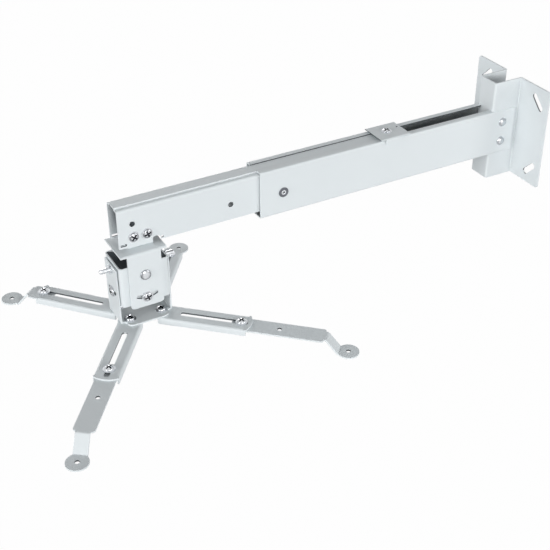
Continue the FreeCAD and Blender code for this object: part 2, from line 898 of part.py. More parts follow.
def build_tilt_box():
    """The four-walled link between the yokes, which carries both pairs of pivots."""
    half_x, half_y = box_half_x(), box_half_y()
    thick = d.box_sheet
    body = new_body("tilt_box")
    section = new_sketch(body, "XY_Plane", -d.box_bottom)
    for edge in (Size.of(0), thick):
        across, along = half_x - edge, half_y - edge
        outline(section, [(across, along), (-across, along), (-across, -along), (across, -along)])
    pad(body, section, d.box_bottom + d.box_top)
    corners = [(across, along) for across in BOTH for along in BOTH]
    round_edges(body, "Z", [(half_x * a, half_y * b) for a, b in corners], d.box_bend)
    round_edges(body, "Z", [((half_x - thick) * a, (half_y - thick) * b) for a, b in corners],
                d.box_bend - thick)
    for role, level, radius in (
        ("XZ_Plane", Size.of(0), d.pin_radius), ("YZ_Plane", d.roll_z - d.tilt_z, d.stud_radius),
    ):
        holes = new_sketch(body, role)
        circle(holes, 0, level, radius + d.pinch)
        circle(holes, 0, level - d.lock_screw_radius, d.lock_shank_radius + d.pinch)
        pocket(body, holes)
    place(body, tilt_frame())
    return body


def build_lower_yoke():
    """The upright yoke and floor that the arms are bolted to."""
    outside = d.lower_half_length
    inside = outside - d.head_sheet
    bottom = -d.lower_depth
    floor = bottom + d.head_sheet
    top = d.lower_flange_top
    body = new_body("lower_yoke")
    section = new_sketch(body, "XZ_Plane")
    outline(section, [
        (outside, top), (inside, top), (inside, floor), (-inside, floor),
        (-inside, top), (-outside, top), (-outside, bottom), (outside, bottom),
    ])
    pad(body, section, d.base_half_width * 2, symmetric=True)
    round_edges(body, "Y", [(inside * side, floor) for side in BOTH], d.head_sheet * TIGHT_BEND)
    round_edges(body, "Y", [(outside * side, bottom) for side in BOTH], d.head_sheet * WIDE_BEND)
    trims = new_sketch(body, "XY_Plane")
    beyond_x, beyond_y = outside + d.overcut, d.base_half_width + d.overcut
    corners = [(across, along) for across in BOTH for along in BOTH]
    for across, along in corners:
        outline(trims, [
            (d.base_half_length * across, d.lower_flange_half * along),
            (beyond_x * across, d.lower_flange_half * along),
            (beyond_x * across, beyond_y * along),
            (d.base_half_length * across, beyond_y * along),
        ])
    pocket(body, trims)
    round_edges(body, "Z", [(d.base_half_length * a, d.base_half_width * b) for a, b in corners],
                d.base_corner)
    ledge = d.lower_half_length - d.head_sheet * WIDE_BEND - d.base_half_length
    round_edges(body, "Z", [(d.base_half_length * a, d.lower_flange_half * b) for a, b in corners],
                ledge * LEDGE_SHARE)
    studs = new_sketch(body, "YZ_Plane")
    circle(studs, 0, 0, d.stud_radius + d.bolt_clearance)
    pocket(body, studs)
    arc_slots(body, "XZ_Plane", "YZ_Plane", d.roll_slot_half_angle, inside, outside)
    bolts = new_sketch(body, "XY_Plane", bottom)
    for across, along in corners:
        circle(bolts, d.arm_bolt_x * across, d.arm_bolt_y * along, d.bolt_radius + d.pinch)
    pocket(body, bolts)
    place(body, roll_frame())
    return body


def build_head_fasteners():
    """Pivot pins, roll studs and lock screws, all carried by the tilt box."""
    pin_seat = d.yoke_half_width + d.bolt_clearance
    stud_seat = d.lower_half_length + d.bolt_clearance
    pin_wall = box_half_y() - d.box_sheet
    stud_wall = box_half_x() - d.box_sheet
    pin_drop, stud_drop = pin_seat - pin_wall, stud_seat - stud_wall
    pin = turned("tilt_pin_blank", [
        (0, d.pin_head_height), (d.pin_head_radius, d.pin_head_height), (d.pin_head_radius, 0),
        (d.pin_radius, 0), (d.pin_radius, -pin_drop), (d.pin_tail_radius, -pin_drop),
        (d.pin_tail_radius, -(pin_drop + d.pin_tail_height)), (0, -(pin_drop + d.pin_tail_height)),
    ])
    stud = turned("roll_stud_blank", [
        (0, d.stud_reach), (d.stud_radius, d.stud_reach), (d.stud_radius, d.stud_collar_height),
        (d.stud_collar_radius, d.stud_collar_height), (d.stud_collar_radius, 0),
        (d.stud_radius, 0), (d.stud_radius, -stud_drop), (d.pin_tail_radius, -stud_drop),
        (d.pin_tail_radius, -(stud_drop + d.pin_tail_height)), (0, -(stud_drop + d.pin_tail_height)),
    ])
    head, shank = d.wide_head_radius, d.lock_shank_radius
    tilt_screw = screw_blank("tilt_screw_blank", pin_drop + d.nut_height, head, shank)
    roll_screw = screw_blank("roll_screw_blank", stud_drop + d.nut_height, head, shank)
    nut = nut_blank("lock_nut_blank", d.nut_radius, d.nut_height, shank)

    def along_y(reach, level):
        return [spot((d.axis_x, reach * side, level), (0, side, 0)) for side in BOTH]

    def along_x(reach, level):
        return [spot((d.axis_x + reach * side, 0, level), (side, 0, 0)) for side in BOTH]

    tilt_lock, roll_lock = d.tilt_z - d.lock_screw_radius, d.roll_z - d.lock_screw_radius
    return [
        copies("tilt_pivot_pins", pin, along_y(pin_seat, d.tilt_z)),
        copies("roll_pivot_studs", stud, along_x(stud_seat, d.roll_z)),
        copies("tilt_lock_screws", tilt_screw, along_y(pin_seat, tilt_lock)),
        copies("roll_lock_screws", roll_screw, along_x(stud_seat, roll_lock)),
        copies("lock_nuts", nut, along_y(pin_wall, tilt_lock) + along_x(stud_wall, roll_lock)),
    ]


# Arms and strips

ARMS = {
    "front": {"side": (1, 1), "strip": "long"},
    "left": {"side": (1, -1), "strip": "short"},
    "right": {"side": (-1, 1), "strip": "long"},
    "back": {"side": (-1, -1), "strip": "short"},
}


def base_under():
    return d.roll_z - d.lower_depth


def arm_size(name, what):
    return getattr(d, "%s_%s" % (name, what))


def arm_frame(name):
    side_x, side_y = ARMS[name]["side"]
    return (d.axis_x + d.arm_bolt_x * side_x, d.arm_bolt_y * side_y, base_under() - d.arm_gap)


def nose_outline(sketch, start, tip):
    """A flat as wide as the arm that ends in a shallow arc."""
    half, radius = d.arm_width / 2, d.arm_nose_radius
    chord = arm_chord(tip)
    centre = tip - radius
    swing = math.asin(half.number / radius.number)
    corners = [(chord, half), (start, half), (start, -half), (chord, -half)]
    points = [FreeCAD.Vector(across.number, along.number, 0) for across, along in corners]
    for begin, end in zip(points, points[1:]):
        sketch.addGeometry(Part.LineSegment(begin, end), False)
    sketch.addGeometry(Part.ArcOfCircle(
        Part.Circle(FreeCAD.Vector(centre.number, 0, 0), FreeCAD.Vector(0, 0, 1), radius.number),
        -swing, swing), False)
    back, low, arc = 1, 2, 3
    for one, other in ((0, back), (back, low), (low, arc), (arc, 0)):
        sketch.addConstraint(Sketcher.Constraint("Coincident", one, 2, other, 1))
    fix_point(sketch, arc, 3, centre, 0)
    fix_point(sketch, 0, 1, chord, half)
    fix_point(sketch, back, 1, start, half)
    fix_point(sketch, low, 1, start, -half)
    constrain(sketch, "DistanceY", (-1, 1, arc, 1), -half)


def arm_chord(tip):
    """Where an arm's straight sides end, short of the tip of its nose."""
    half, radius = d.arm_width / 2, d.arm_nose_radius
    return tip - radius + square_root(radius * radius - half * half)


def build_arm(name):
    """One inverted channel arm, from its pivot outwards along its own X."""
    half = d.arm_width / 2
    inside = half - d.arm_sheet
    thick = d.arm_sheet
    skirt_end = arm_chord(d.arm_length)
    body = new_body("arm_%s" % name)
    channel = new_sketch(body, "XY_Plane")
    outline(channel, [(0, half), (0, -half), (skirt_end, -half), (skirt_end, half)])
    pad(body, channel, d.arm_height, backward=True)
    hollow = new_sketch(body, "XY_Plane", -thick)
    outline(hollow, [
        (-d.overcut, inside), (-d.overcut, -inside),
        (skirt_end + d.overcut, -inside), (skirt_end + d.overcut, inside),
    ])
    pocket(body, hollow, d.arm_height)
    round_edges(body, "X", [(inside * side, -thick) for side in BOTH], thick * TIGHT_BEND)
    round_edges(body, "X", [(half * side, 0) for side in BOTH], thick * WIDE_BEND)
    heel = new_sketch(body, "XY_Plane")
    circle(heel, 0, 0, half)
    pad(body, heel, thick, backward=True)
    nose = new_sketch(body, "XY_Plane")
    nose_outline(nose, skirt_end - thick, d.arm_length)
    pad(body, nose, thick, backward=True)
    cuts = new_sketch(body, "XY_Plane")
    end_inset = d.arm_slot_width / 2
    slot(cuts, (d.arm_slot_start + end_inset, 0), (d.arm_slot_end - end_inset, 0), d.arm_slot_width)
    circle(cuts, 0, 0, d.bolt_radius + d.bolt_clearance)
    pocket(body, cuts)
    place(body, arm_frame(name), arm_size(name, "arm_angle"))
    return body


def build_strip(name):
    """One folded strip: a flat under the arm, a slanting leg and a round foot."""
    kind = ARMS[name]["strip"]
    bend_at = arm_size(kind, "bend_at")
    foot_at = arm_size(kind, "foot_at")
    thick = d.strip_sheet
    low_at = bend_at + d.leg_run
    slant = arc_tangent(d.strip_fall / d.leg_run)
    shift = thick * tangent(slant / 2)
    zero = Size.of(0)
    body = new_body("strip_%s" % name)
    side = new_sketch(body, "XZ_Plane")
    outline(side, [
        (-d.strip_tail, zero), (bend_at, zero), (low_at, -d.strip_fall), (foot_at, -d.strip_fall),
        (foot_at, -(d.strip_fall + thick)), (low_at - shift, -(d.strip_fall + thick)),
        (bend_at - shift, -thick), (-d.strip_tail, -thick),
    ])
    pad(body, side, d.strip_width, symmetric=True)
    round_edges(body, "Y", [(bend_at - shift, -thick), (low_at, -d.strip_fall)], thick * TIGHT_BEND)
    round_edges(body, "Y", [
        (bend_at, zero), (low_at - shift, -(d.strip_fall + thick))
    ], thick * WIDE_BEND)
    half, half_leg = d.strip_width / 2, d.leg_width / 2
    shoulder = bend_at - thick * WIDE_BEND
    beyond_x, beyond_y = foot_at + d.overcut, half + d.overcut
    trims = new_sketch(body, "XY_Plane")
    for side in BOTH:
        outline(trims, [
            (shoulder, half_leg * side), (beyond_x, half_leg * side),
            (beyond_x, beyond_y * side), (shoulder, beyond_y * side),
        ])
    pocket(body, trims)
    round_edges(body, "Z", [
        (end, half * side) for end in (-d.strip_tail, shoulder) for side in BOTH
    ], (half - half_leg) * LEDGE_SHARE)
    foot = new_sketch(body, "XY_Plane", -d.strip_fall)
    circle(foot, foot_at, 0, d.foot_radius)
    pad(body, foot, thick, backward=True)
    holes = new_sketch(body, "XY_Plane")
    circle(holes, foot_at, 0, d.foot_hole_radius)
    circle(holes, 0, 0, d.bolt_radius + d.pinch)
    if kind == "long":
        circle(holes, d.long_hole_at, 0, d.foot_hole_radius)
    pocket(body, holes)
    set_on_arm(body, name, -(d.arm_sheet + d.strip_gap))
    return body


def set_on_arm(body, name, level):
    """Place a body on its arm, at the strip's screw and a level above the arm's top."""
    angle = arm_size(name, "arm_angle")
    screw_at = arm_size(name, "screw_at")
    pivot_x, pivot_y, top = arm_frame(name)
    where_x = pivot_x + screw_at * cosine(angle)
    where_y = pivot_y + screw_at * sine(angle)
    place(body, (where_x, where_y, top + level), angle)


def build_strip_fasteners(name):
    """The washer, screw and nut that clamp one strip to its arm."""
    seat = d.strip_gap + d.washer_sheet
    under = -(d.arm_sheet + d.strip_gap + d.strip_sheet)
    screw = small_screw("strip_screw_%s" % name, seat - under + d.nut_height, d.bolt_head_radius)
    nut = small_nut("strip_nut_%s" % name)
    washer = washer_blank("strip_washer_%s" % name, d.washer_radius, d.washer_sheet, d.bolt_radius)
    for body, level in ((screw, seat), (nut, under), (washer, d.strip_gap)):
        set_on_arm(body, name, level)
    return [screw, nut, washer]


def build_arm_bolts():
    """The four bolts that the arms turn about, with their washers and nuts."""
    floor = base_under() + d.head_sheet
    seat = floor + d.washer_sheet
    under = base_under() - d.arm_gap - d.arm_sheet - d.arm_gap
    bolt = small_screw("arm_bolt_blank", seat - under + d.nut_height, d.bolt_head_radius)
    washer = washer_blank("arm_washer_blank", d.washer_radius, d.washer_sheet, d.bolt_radius)
    nut = small_nut("arm_nut_blank")
    groups = {"arm_bolts": (bolt, seat), "arm_washers": (washer, floor), "arm_nuts": (nut, under)}
    nodes = []
    for label, (blank, level) in groups.items():
        places = []
        for arm in ARMS:
            pivot_x, pivot_y, _ = arm_frame(arm)
            places.append(spot((pivot_x, pivot_y, level)))
        nodes.append(copies(label, blank, places))
    return nodes


def build_all():
    """Build every sub-part and return the list."""
    nodes = [build_wall_bracket(), build_outer_channel()]
    nodes += build_channel_fasteners() + build_lock()
    nodes += [build_boom()] + build_slider() + build_adapter() + build_swivel()
    nodes += [build_upper_yoke(), build_tilt_box(), build_lower_yoke()]
    nodes += build_head_fasteners() + build_arm_bolts()
    for name in ARMS:
        nodes += [build_arm(name), build_strip(name)] + build_strip_fasteners(name)
    return nodes


parts = build_all()
doc.recompute()

for item in doc.Objects:
    if "Invalid" in item.State or "Error" in item.State:
        raise RuntimeError("%s failed: %s" % (item.Name, item.State))
for node in parts:
    if node.Shape.isNull() or not node.Shape.isValid():
        raise RuntimeError("%s has no valid shape" % node.Label)

os.makedirs("parts", exist_ok=True)
for node in parts:
    node.Shape.exportStep("parts/%s.step" % node.Label)
print("%d parts" % len(parts))
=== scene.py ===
"""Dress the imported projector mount: coated sheets, zinc fasteners, studio and camera."""
from __future__ import annotations

import json
import logging
import math
from dataclasses import dataclass
from enum import Enum
from typing import Sequence

import bmesh
import bpy
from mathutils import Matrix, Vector
from mathutils.bvhtree import BVHTree

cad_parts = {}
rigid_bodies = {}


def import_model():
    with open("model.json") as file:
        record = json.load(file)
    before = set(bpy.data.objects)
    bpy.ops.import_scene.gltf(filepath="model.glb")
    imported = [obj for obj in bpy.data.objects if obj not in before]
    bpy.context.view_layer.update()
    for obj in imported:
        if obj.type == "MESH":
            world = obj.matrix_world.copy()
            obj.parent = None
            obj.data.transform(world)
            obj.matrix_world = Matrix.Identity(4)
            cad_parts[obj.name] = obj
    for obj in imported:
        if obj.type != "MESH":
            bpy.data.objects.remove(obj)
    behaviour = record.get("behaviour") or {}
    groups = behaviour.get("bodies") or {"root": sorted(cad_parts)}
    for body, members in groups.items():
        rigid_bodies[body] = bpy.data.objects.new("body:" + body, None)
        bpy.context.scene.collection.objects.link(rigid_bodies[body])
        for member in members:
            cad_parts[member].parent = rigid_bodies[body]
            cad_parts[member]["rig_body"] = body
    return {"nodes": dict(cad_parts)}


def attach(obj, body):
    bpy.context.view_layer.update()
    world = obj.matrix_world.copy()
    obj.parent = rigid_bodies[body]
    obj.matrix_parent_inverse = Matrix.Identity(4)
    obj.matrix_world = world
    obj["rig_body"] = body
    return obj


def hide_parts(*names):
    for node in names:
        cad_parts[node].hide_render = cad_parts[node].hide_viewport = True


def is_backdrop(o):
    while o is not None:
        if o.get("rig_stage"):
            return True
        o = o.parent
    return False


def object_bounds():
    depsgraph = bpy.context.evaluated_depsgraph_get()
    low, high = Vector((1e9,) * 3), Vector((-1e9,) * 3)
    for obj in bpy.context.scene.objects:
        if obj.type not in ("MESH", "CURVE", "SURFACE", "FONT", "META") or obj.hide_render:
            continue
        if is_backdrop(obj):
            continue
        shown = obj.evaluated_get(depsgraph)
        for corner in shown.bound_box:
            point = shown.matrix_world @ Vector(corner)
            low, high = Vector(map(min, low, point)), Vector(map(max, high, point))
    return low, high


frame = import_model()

CAD_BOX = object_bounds()
LOG = logging.getLogger("projector_mount")
MM = 0.001
MERGE_DISTANCE = 1e-6
FLAT_WITHIN = math.radians(0.4)
RAY_START = 0.02 * MM
HEAD_SIDES = 40
DOME_RINGS = 24
WALL_SHADE = "wall_shade"
ZINC_SHADE = "zinc_shade"
Triple = tuple[float, float, float]
Colour = Triple
Socket = bpy.types.NodeSocket


class Axis(Enum):
    """One axis of the frame."""

    X = 0
    Y = 1
    Z = 2


class Kind(Enum):
    """What a fastener is, which picks its geometry tree."""

    SCREW = "screw"
    NUT = "nut"
    WASHER = "washer"
    PIN = "pin"
    STUD = "stud"


# Shader graphs

class Signal:
    """One shader socket, so that maths on its value reads as an expression."""

    def __init__(self, tree: bpy.types.NodeTree, socket: Socket) -> None:
        """Wrap a socket of a tree."""
        self.tree = tree
        self.socket = socket

    def _maths(self, operation: str, *values: "Signal | float") -> "Signal":
        """Add a Math node.

        Args:
            operation: The node's operation.
            values: Its inputs in order, each a signal or a number.

        Returns:
            The node's result.
        """
        node = self.tree.nodes.new("ShaderNodeMath")
        node.operation = operation
        for index, value in enumerate(values):
            if isinstance(value, Signal):
                self.tree.links.new(value.socket, node.inputs[index])
            else:
                node.inputs[index].default_value = value
        return Signal(self.tree, node.outputs[0])

    def __add__(self, other: "Signal | float") -> "Signal":
        """Sum of this value and another."""
        return self._maths("ADD", self, other)

    def __sub__(self, other: "Signal | float") -> "Signal":
        """This value less another."""
        return self._maths("SUBTRACT", self, other)

    def __rsub__(self, other: float) -> "Signal":
        """A number less this value."""
        return self._maths("SUBTRACT", other, self)

    def __mul__(self, other: "Signal | float") -> "Signal":
        """Product of this value and another."""
        return self._maths("MULTIPLY", self, other)

    def between(self, low: float, high: float) -> "Signal":
        """This value from 0 to 1, stretched to run from low to high."""
        return self * (high - low) + low

    def larger(self, other: "Signal | float") -> "Signal":
        """The larger of this value and another."""
        return self._maths("MAXIMUM", self, other)

    def past(self, low: float, high: float) -> "Signal":
        """Rise in a straight line from 0 to 1.

        Args:
            low: The value up to which the result is 0.
            high: The value from which the result is 1.

        Returns:
            The result.
        """
        rise = (self - low) * (1 / (high - low))
        rise.socket.node.use_clamp = True
        return rise


class Board:
    """The node graph of one material."""

    def __init__(self, name: str) -> None:
        """Make a material with its principled shader.

        Args:
            name: The material's name.
        """
        self.material = bpy.data.materials.new(name)
        self.material.use_nodes = True
        self.tree = self.material.node_tree
        self.shader = self.tree.nodes["Principled BSDF"]

    def add(self, kind: str, settings: dict | None = None, **values: object) -> bpy.types.Node:
        """Add one node.

        Args:
            kind: The node's type.
            settings: Properties of the node, set before its sockets.
            values: Socket values or signals, by socket name with underscores for spaces.

        Returns:
            The new node.
        """
        node = self.tree.nodes.new(kind)
        for key, value in (settings or {}).items():
            setattr(node, key, value)
        for key, value in values.items():
            self.feed(node, key.replace("_", " "), value)
        return node

    def feed(self, node: bpy.types.Node, socket: str, value: object) -> None:
        """Set or link one input of a node.

        Args:
            node: The node.
            socket: The input's name.
            value: A signal, a socket or a plain value.
        """
        if isinstance(value, Signal):
            self.tree.links.new(value.socket, node.inputs[socket])
        elif isinstance(value, Socket):
            self.tree.links.new(value, node.inputs[socket])
        else:
            node.inputs[socket].default_value = value

    def signal(self, socket: Socket) -> Signal:
        """Wrap a socket for maths."""
        return Signal(self.tree, socket)

    def place(self) -> Socket:
        """The point's place in the object's own frame, in metres."""
        return self.add("ShaderNodeTexCoord").outputs["Object"]

    def noise(self, scale: float, detail: float = 2.0) -> Signal:
        """Cloudy noise from 0 to 1.

        Args:
            scale: Cells to the metre.
            detail: Octaves.

        Returns:
            The noise value.
        """
        node = self.add("ShaderNodeTexNoise", Vector=self.place(), Scale=scale, Detail=detail)
        return self.signal(node.outputs["Fac"])

    def mix(self, factor: Signal, low: Colour | Socket, high: Colour | Socket) -> Socket:
        """Blend two colours.

        Args:
            factor: 0 for the first and 1 for the second.
            low: The first, a colour or a socket.
            high: The second, a colour or a socket.

        Returns:
            The blended colour's socket.
        """
        node = self.tree.nodes.new("ShaderNodeMix")
        node.data_type = "RGBA"
        self.tree.links.new(factor.socket, node.inputs[0])
        for index, colour in ((6, low), (7, high)):
            if isinstance(colour, Socket):
                self.tree.links.new(colour, node.inputs[index])
            else:
                node.inputs[index].default_value = (*colour, 1)
        return node.outputs[2]

    def attribute(self, name: str) -> Signal:
        """A number that the piece's mesh carries, 0 where it carries none."""
        node = self.add("ShaderNodeAttribute", {"attribute_name": name})
        return self.signal(node.outputs["Fac"])

    def shelter(self, reach: float) -> Signal:
        """How far the piece's own walls close a point in.

        Args:
            reach: How far away a wall still counts, in metres.

        Returns:
            0 in the open, up to 1.
        """
        settings = {"only_local": True, "samples": 8}
        node = self.add("ShaderNodeAmbientOcclusion", settings, Distance=reach)
        return 1.0 - self.signal(node.outputs["AO"])

    def bump(self, height: Signal, depth: float, strength: float = 1.0) -> None:
        """Feed the shader's normal from a height."""
        node = self.add("ShaderNodeBump", Strength=strength, Distance=depth, Height=height)
        self.feed(self.shader, "Normal", node.outputs[0])


@dataclass(frozen=True)
class PowderCoat:
    """Silver-white powder coat: an even colour with a fine orange-peel skin, darkened towards
    painted shade in the piece's own hollows and on marked walls.
    """

    name: str = "silver_white_powder_coat"
    body: Colour = (0.775, 0.820, 0.835)
    shade: Colour = (0.745, 0.790, 0.808)
    # Painted shade: hollows within reach of the piece's own walls, and marked walls, are painted
    # towards this near-black colour; closed sets the shelter over which it fades in.
    hollow_shade_colour: Colour = (0.014, 0.024, 0.034)
    reach: float = 60 * MM
    closed: tuple[float, float] = (0.44, 0.82)
    gloss: tuple[float, float] = (0.42, 0.52)
    peel_cells: float = 1500.0
    peel_depth: float = 0.00003
    peel_strength: float = 0.35
    peel_gloss: float = 0.06
    cloud_cells: float = 22.0
    cloud_octaves: float = 3.0
    coat: float = 0.05
    coat_roughness: float = 0.25

    def material(self) -> bpy.types.Material:
        """Build the finish.

        Returns:
            The material.
        """
        board = Board(self.name)
        cloud = board.noise(self.cloud_cells, self.cloud_octaves)
        peel = board.noise(self.peel_cells)
        # Painted shade: ambient occlusion from the piece's own walls, or the wall mark, darkens the
        # base colour.
        closed_in = board.shelter(self.reach).past(*self.closed)
        painted_shade_share = closed_in.larger(board.attribute(WALL_SHADE))
        even = board.mix(cloud, self.shade, self.body)
        board.feed(board.shader, "Base Color", board.mix(painted_shade_share, even, self.hollow_shade_colour))
        rough = cloud.between(*self.gloss) + (peel - 0.5) * self.peel_gloss
        board.feed(board.shader, "Roughness", rough)
        board.shader.inputs["Coat Weight"].default_value = self.coat
        board.shader.inputs["Coat Roughness"].default_value = self.coat_roughness
        board.bump(peel, self.peel_depth, self.peel_strength)
        return board.material


@dataclass(frozen=True)
class ZincPlate:
    """Zinc plating on turned and pressed steel."""

    name: str
    bright: Colour
    dull: Colour
    gloss: tuple[float, float]
    # Painted shade: the dark colour for marked head sides, recess floors and close-facing recess
    # walls.
    zinc_shade: Colour = (0.045, 0.05, 0.06)
    grain_cells: float = 900.0
    grain_octaves: float = 3.0
    grain_depth: float = 0.00002
    grain_strength: float = 0.3
    blotch_cells: float = 150.0

    def material(self) -> bpy.types.Material:
        """Build the finish.

        Returns:
            The material.
        """
        board = Board(self.name)
        spangle = board.noise(self.grain_cells, self.grain_octaves)
        blotch = board.noise(self.blotch_cells)
        plate = board.mix(blotch, self.dull, self.bright)
        # Painted shade: marked faces are mixed towards the dark colour.
        marked = board.mix(board.attribute(ZINC_SHADE), plate, self.zinc_shade)
        board.feed(board.shader, "Base Color", marked)
        board.shader.inputs["Metallic"].default_value = 1.0
        board.feed(board.shader, "Roughness", blotch.between(*self.gloss))
        board.bump(spangle, self.grain_depth, self.grain_strength)
        return board.material


BRIGHT_ZINC = ZincPlate("bright_zinc_plate", (0.80, 0.82, 0.84), (0.60, 0.62, 0.65), (0.18, 0.32))
DULL_ZINC = ZincPlate("dull_zinc_plate", (0.56, 0.58, 0.60), (0.38, 0.40, 0.43), (0.28, 0.45))
DARK_ZINC = ZincPlate("dark_zinc_plate", (0.20, 0.21, 0.23), (0.13, 0.14, 0.16), (0.28, 0.40))


class Finishes:
    """Every finish of the object, each made once."""

    def __init__(self) -> None:
        """Make the four materials."""
        self.coat = PowderCoat().material()
        self.bright = BRIGHT_ZINC.material()
        self.dull = DULL_ZINC.material()
        self.dark = DARK_ZINC.material()


# Meshes from the frame

def node_body(name: str) -> str:
    """The body that a node of the frame belongs to."""
    return frame["nodes"][name]["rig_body"]


def merged_copy(name: str) -> bmesh.types.BMesh:
    """A node's mesh with its loose triangles joined.

    Args:
        name: The node.

    Returns:
        A new bmesh in the frame's metres.
    """
    mesh = bmesh.new()
    mesh.from_mesh(frame["nodes"][name].data)
    bmesh.ops.remove_doubles(mesh, verts=mesh.verts, dist=MERGE_DISTANCE)
    return mesh


def finished(obj: bpy.types.Object, material: bpy.types.Material) -> bpy.types.Object:
    """Turn an object with modifiers into a plain mesh at the origin.

    Args:
        obj: The object, already linked to the scene.
        material: Its only material.

    Returns:
        The same object with its final mesh.
    """
    graph = bpy.context.evaluated_depsgraph_get()
    graph.update()
    mesh = bpy.data.meshes.new_from_object(obj.evaluated_get(graph))
    obj.modifiers.clear()
    obj.data = mesh
    mesh.materials.clear()
    mesh.materials.append(material)
    mesh.polygons.foreach_set("material_index", [0] * len(mesh.polygons))
    return obj


def new_piece(name: str, mesh: bpy.types.Mesh) -> bpy.types.Object:
    """Link a new object.

    Args:
        name: Its name.
        mesh: The mesh that it holds.

    Returns:
        The object.
    """
    obj = bpy.data.objects.new(name, mesh)
    bpy.context.scene.collection.objects.link(obj)
    return obj


def islands(name: str) -> list[tuple[Vector, Vector]]:
    """The low and high corners of each separate solid of a node.

    Args:
        name: The node.

    Returns:
        One pair of corners for each solid, in the mesh's own order.
    """
    mesh = merged_copy(name)
    seen: set[int] = set()
    boxes = []
    mesh.verts.ensure_lookup_table()
    for start in mesh.verts:
        if start.index in seen:
            continue
        stack, found = [start], []
        seen.add(start.index)
        while stack:
            vertex = stack.pop()
            found.append(vertex.co.copy())
            for edge in vertex.link_edges:
                other = edge.other_vert(vertex)
                if other.index not in seen:
                    seen.add(other.index)
                    stack.append(other)
        low = Vector([min(point[axis] for point in found) for axis in range(3)])
        high = Vector([max(point[axis] for point in found) for axis in range(3)])
        boxes.append((low, high))
    mesh.free()
    return boxes


@dataclass(frozen=True)
class Trim:
    """A flat face of a sheet that is drawn back a little, so that the gap beside it shows."""

    axis: Axis
    level: float
    by: float
    above: float
    slack: float = 0.05 * MM

    def apply(self, mesh: bmesh.types.BMesh) -> None:
        """Move the face's corners along its axis.

        Args:
            mesh: The piece, which is changed.
        """
        index = self.axis.value
        for vertex in mesh.verts:
            if abs(vertex.co[index] - self.level) < self.slack and vertex.co.z > self.above:
                vertex.co[index] += self.by


@dataclass(frozen=True)
class ShadedEnd:
    """The cut end of a sheet, beyond a level along one axis, that gets painted shade as a dark
    line.
    """

    axis: Axis
    beyond: float
    share: float = 0.8

    def covers(self, point: Vector) -> bool:
        """Say whether a point lies on the end with painted shade."""
        return point[self.axis.value] > self.beyond


@dataclass
class SheetPiece:
    """One folded, punched or turned part of the frame, with its cut edges broken."""

    node: str
    slot: str = "white_coat"
    edge: float = 0.35 * MM
    segments: int = 2
    sharp_from: float = math.radians(32)
    join_flats: bool = True
    trims: Sequence[Trim] = ()
    shaded_ends: Sequence[ShadedEnd] = ()
    # Painted shade: walls that face each other within widest_cut, and the given sheet ends, get the
    # share marked, stored under the attribute named by mark.
    widest_cut: float = 18 * MM
    mark: str = WALL_SHADE
    marked: float = 0.9
    opposed: float = -0.5

    def mark_shaded_walls(self, mesh: bpy.types.Mesh) -> None:
        """Mark faces for painted shade: the given sheet ends, and the walls of slots and holes,
        which face each other closely.

        Args:
            mesh: The finished piece, which gets the marks as an attribute.
        """
        tree = BVHTree.FromPolygons(
            [vertex.co for vertex in mesh.vertices],
            [polygon.vertices[:] for polygon in mesh.polygons],
        )
        shares = []
        for polygon in mesh.polygons:
            start = polygon.center + polygon.normal * RAY_START
            _, facing, _, gap = tree.ray_cast(start, polygon.normal, self.widest_cut)
            opposite = gap is not None and facing.dot(polygon.normal) < self.opposed
            end_shades = [end.share for end in self.shaded_ends if end.covers(polygon.center)]
            shares.append(max([self.marked if opposite else 0.0, *end_shades]))
        mesh.attributes.new(self.mark, "FLOAT", "FACE").data.foreach_set("value", shares)

    def build(self, coat: bpy.types.Material) -> bpy.types.Object:
        """Copy the node, break its edges and put it in the node's place.

        Args:
            coat: The finish.

        Returns:
            The finished piece.
        """
        shape = merged_copy(self.node)
        for trim in self.trims:
            trim.apply(shape)
        if self.join_flats:
            bmesh.ops.dissolve_limit(
                shape, angle_limit=FLAT_WITHIN, verts=shape.verts, edges=shape.edges
            )
        mesh = bpy.data.meshes.new(f"{self.node}_sheet")
        shape.to_mesh(mesh)
        shape.free()
        mesh.shade_smooth()
        piece = new_piece(f"{self.node}_sheet", mesh)
        bevel = piece.modifiers.new("broken_edges", "BEVEL")
        bevel.width = self.edge
        bevel.segments = self.segments
        bevel.limit_method = "ANGLE"
        bevel.angle_limit = self.sharp_from
        bevel.use_clamp_overlap = True
        weigh = piece.modifiers.new("flat_faces", "WEIGHTED_NORMAL")
        weigh.keep_sharp = True
        finished(piece, coat)
        self.mark_shaded_walls(piece.data)
        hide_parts(self.node)
        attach(piece, node_body(self.node))
        LOG.info("%s: %d faces", piece.name, len(piece.data.polygons))
        return piece


# Geometry trees of the fasteners

